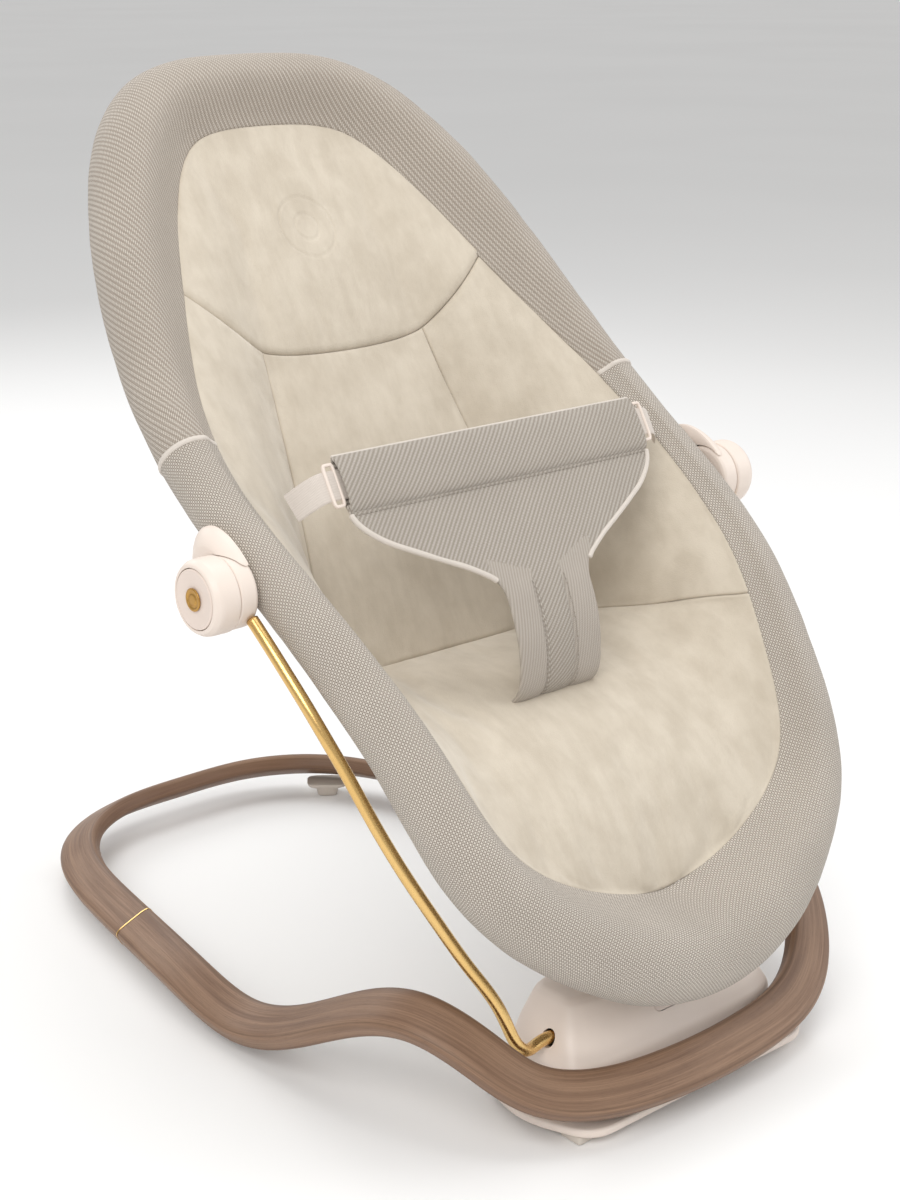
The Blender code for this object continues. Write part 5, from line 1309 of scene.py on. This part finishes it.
def stitches(name, points, normals, length=0.0024, gap=0.0012, radius=0.00032):
    """A run of separate stitches lying on the cloth, in one mesh."""
    points, normals = np.asarray(points), np.asarray(normals)
    d = np.r_[0, np.cumsum(np.linalg.norm(np.diff(points, axis=0), axis=1))]
    verts, faces = [], []
    pos = 0.0
    while pos + length < d[-1]:
        q = np.linspace(pos, pos + length, 6)
        P = np.stack([np.interp(q, d, points[:, j]) for j in range(3)], -1)
        Nn = np.stack([np.interp(q, d, normals[:, j]) for j in range(3)], -1)
        Nn /= np.linalg.norm(Nn, axis=1)[:, None]
        arch = np.sin(np.linspace(0, math.pi, 6))
        P = P + Nn * (arch * 0.0003)[:, None]
        r = radius * np.array([0.35, 0.9, 1.0, 1.0, 0.9, 0.35])
        rings = tube_rings(P, 1.0, 6, start_up=Nn[0])
        rings = P[:, None] + (rings - P[:, None]) * r[:, None, None]
        base = len(verts)
        verts += rings.reshape(-1, 3).tolist()
        for a in range(5):
            for b in range(6):
                faces.append((base + a * 6 + b, base + a * 6 + (b + 1) % 6, base + (a + 1) * 6 + (b + 1) % 6, base + (a + 1) * 6 + b))
        faces.append(tuple(base + b for b in range(5, -1, -1)))
        faces.append(tuple(base + 30 + b for b in range(6)))
        pos += length + gap
    me = bpy.data.meshes.new(name)
    me.from_pydata(verts, [], faces)
    me.uv_layers.new(name="weave")
    ob = dress(name, me, M["stitch"], True)
    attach(ob, "seat")
    return ob


def belt_normals(s):
    _, _, ny, nz = belt_line(np.asarray(s, float))
    return np.stack([0 * ny, ny, nz], -1)


ss = np.linspace(STRAP_S + 0.004, 0.205, 80)
for tag, sg in SIDES:
    stitches("strap_stitch_" + tag, at(belt_point(np.full(80, sg * (line_x + 0.0017)), ss, 0.0021)), belt_normals(ss))
xs_line = np.linspace(-0.1440, 0.1440, 160)
stitches("hem_stitch", at(belt_point(xs_line, np.full(160, HEM + 0.0022), 0.0018)), belt_normals(np.full(160, HEM + 0.0022)))

# webbing and adjusters
for tag, sg in SIDES:
    wpts = np.array([(0.1390, -0.1720, 0.4310), (0.1470, -0.1721, 0.4311), (0.1515, -0.1720, 0.4310), (0.1565, -0.1717, 0.4307), (0.1610, -0.1708, 0.4298),
                     (0.1660, -0.1685, 0.4272), (0.1705, -0.1650, 0.4235), (0.1740, -0.1615, 0.4198), (0.1768, -0.1580, 0.4163)])
    path, dd = spline(wpts, count=60)
    a = np.gradient(path, axis=0)
    a /= np.linalg.norm(a, axis=1)[:, None]
    across = np.array((0.0, 0.49, 0.87))[None] - a * (a @ np.array((0.0, 0.49, 0.87)))[:, None]
    across /= np.linalg.norm(across, axis=1)[:, None]
    nrm = np.cross(a, across)
    w = np.r_[np.linspace(-1, 1, 25)]
    hw = 0.0108
    th = 0.0006 * np.sqrt(np.clip(1 - np.abs(w) ** 8, 0, 1)) + 0.00012
    topw = path[:, None] + across[:, None] * (w * hw)[None, :, None] + nrm[:, None] * th[None, :, None]
    botw = path[:, None] + across[:, None] * (w * hw)[None, :, None] - nrm[:, None] * th[None, :, None]
    ring = np.concatenate([topw, botw[:, ::-1]], 1)
    ring[..., 0] *= sg
    run = np.r_[0, np.cumsum(np.linalg.norm(np.diff(path, axis=0), axis=1))]
    uvw = np.stack([np.broadcast_to(run[:, None], (60, 51)), np.broadcast_to(np.r_[w, w[::-1], w[:1]] * hw, (60, 51))], -1)
    tape = grid("webbing_tape_" + tag, at(ring), M["tape"], wrap_i=True, uv=uvw, caps=True, sharp=70)
    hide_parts("webbing_" + tag)
    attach(tape, "seat")
    # adjuster: a flat loop of moulded bar, lying in the tape's plane
    rot = Matrix.Rotation(math.radians(-30), 3, "X")
    loop_pts = []
    for k2 in range(64):
        a2 = k2 / 64 * math.tau
        px = math.copysign(abs(math.cos(a2)) ** 0.28, math.cos(a2)) * 0.0042
        pz = math.copysign(abs(math.sin(a2)) ** 0.28, math.sin(a2)) * 0.0150
        v = rot @ Vector((px, 0.0, pz))
        loop_pts.append((sg * 0.1512 + v.x, -0.1722 + v.y, 0.4310 + v.z))
    loop_pts = at(np.array(loop_pts))
    t = np.roll(loop_pts, -1, 0) - np.roll(loop_pts, 1, 0)
    t /= np.linalg.norm(t, axis=1)[:, None]
    flat_n = np.array(rot @ Vector((0, 1, 0)))
    side_v = np.cross(t, flat_n)
    rings = []
    ang = np.arange(12) / 12 * math.tau
    for p, sv in zip(loop_pts, side_v):
        ca = np.sign(np.cos(ang)) * np.abs(np.cos(ang)) ** 0.6 * 0.0012
        sa = np.sign(np.sin(ang)) * np.abs(np.sin(ang)) ** 0.6 * 0.0014
        rings.append(p + sv * ca[:, None] + flat_n * sa[:, None])
    frame_loop = grid("adjuster_loop_" + tag, np.array(rings), M["cream"], wrap_i=True, wrap_j=True)
    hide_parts("adjuster_" + tag)
    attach(frame_loop, "seat")

# ================================================================= carried-over CAD pieces
CARRIED = {"steel": ["ring_dowel_", "tray_screw_", "hub_pin_", "button_spring_", "bracket_screw_"],
           "acetal": ["bearing_block_", "lock_gear_"]}
carried = {"bounce_axle": "steel", "bounce_spring": "steel", "seat_hoop_tube": "steel"}
for look, stems in CARRIED.items():
    for stem in stems:
        for tag, _ in SIDES:
            carried[stem + tag] = look
for node, look in carried.items():
    ob = NODES[node]
    ob.data.materials.clear()
    ob.data.materials.append(M[look])
    ob.data.shade_smooth()
    ob.data.set_sharp_from_angle(angle=math.radians(35))

# ================================================================= floor, light and camera
floor_w = Nodes("pale_floor", 0.9)
floor_w.colour(floor_w.mix(floor_w.step(floor_w.noise(floor_w.obj(), 0.6, 2.0), 0.3, 0.7), (0.90, 0.90, 0.90, 1), (0.92, 0.92, 0.92, 1)))
bm = bmesh.new()
bmesh.ops.create_circle(bm, cap_ends=True, segments=96, radius=60.0)
fm = bpy.data.meshes.new("floor")
bm.to_mesh(fm)
bm.free()
floor = link(bpy.data.objects.new("floor", fm))
floor.location = (0, 0, -0.0004)
fm.materials.append(floor_w.mat)

world = bpy.data.worlds.new("studio")
scene.world = world
world.use_nodes = True
world.node_tree.nodes["Background"].inputs[0].default_value = (1.0, 0.995, 0.985, 1)
world.node_tree.nodes["Background"].inputs[1].default_value = 0.62


def area(name, loc, target, size, power, colour=(1, 1, 1)):
    data = bpy.data.lights.new(name, "AREA")
    data.shape = "RECTANGLE"
    data.size, data.size_y = size
    data.energy = power
    data.color = colour
    ob = link(bpy.data.objects.new(name, data))
    ob.location = loc
    ob.rotation_euler = (Vector(target) - Vector(loc)).to_track_quat("-Z", "Y").to_euler()
    return ob


area("key", (-1.7, -1.3, 1.9), (0, 0, 0.35), (1.4, 1.4), 30.0, (1.0, 0.985, 0.96))
area("top", (0.3, 0.2, 2.6), (0, 0, 0.3), (2.2, 2.2), 26.0)
area("fill", (1.9, -1.2, 1.2), (0, 0, 0.3), (1.6, 1.6), 12.0)
area("back", (0.2, 2.2, 1.6), (0, 0, 0.4), (1.8, 1.2), 14.0)

cam_data = bpy.data.cameras.new("camera")
cam_data.lens = 62.4
cam_data.sensor_width = 36.0
cam_data.clip_start, cam_data.clip_end = 0.05, 200
cam = link(bpy.data.objects.new("camera", cam_data))
cam.location = (-1.0005, -1.1939, 0.79)
cam.rotation_mode = "QUATERNION"
cam.rotation_quaternion = Vector((0.6273, 0.7169, -0.3042)).to_track_quat("-Z", "Y")
scene.camera = cam
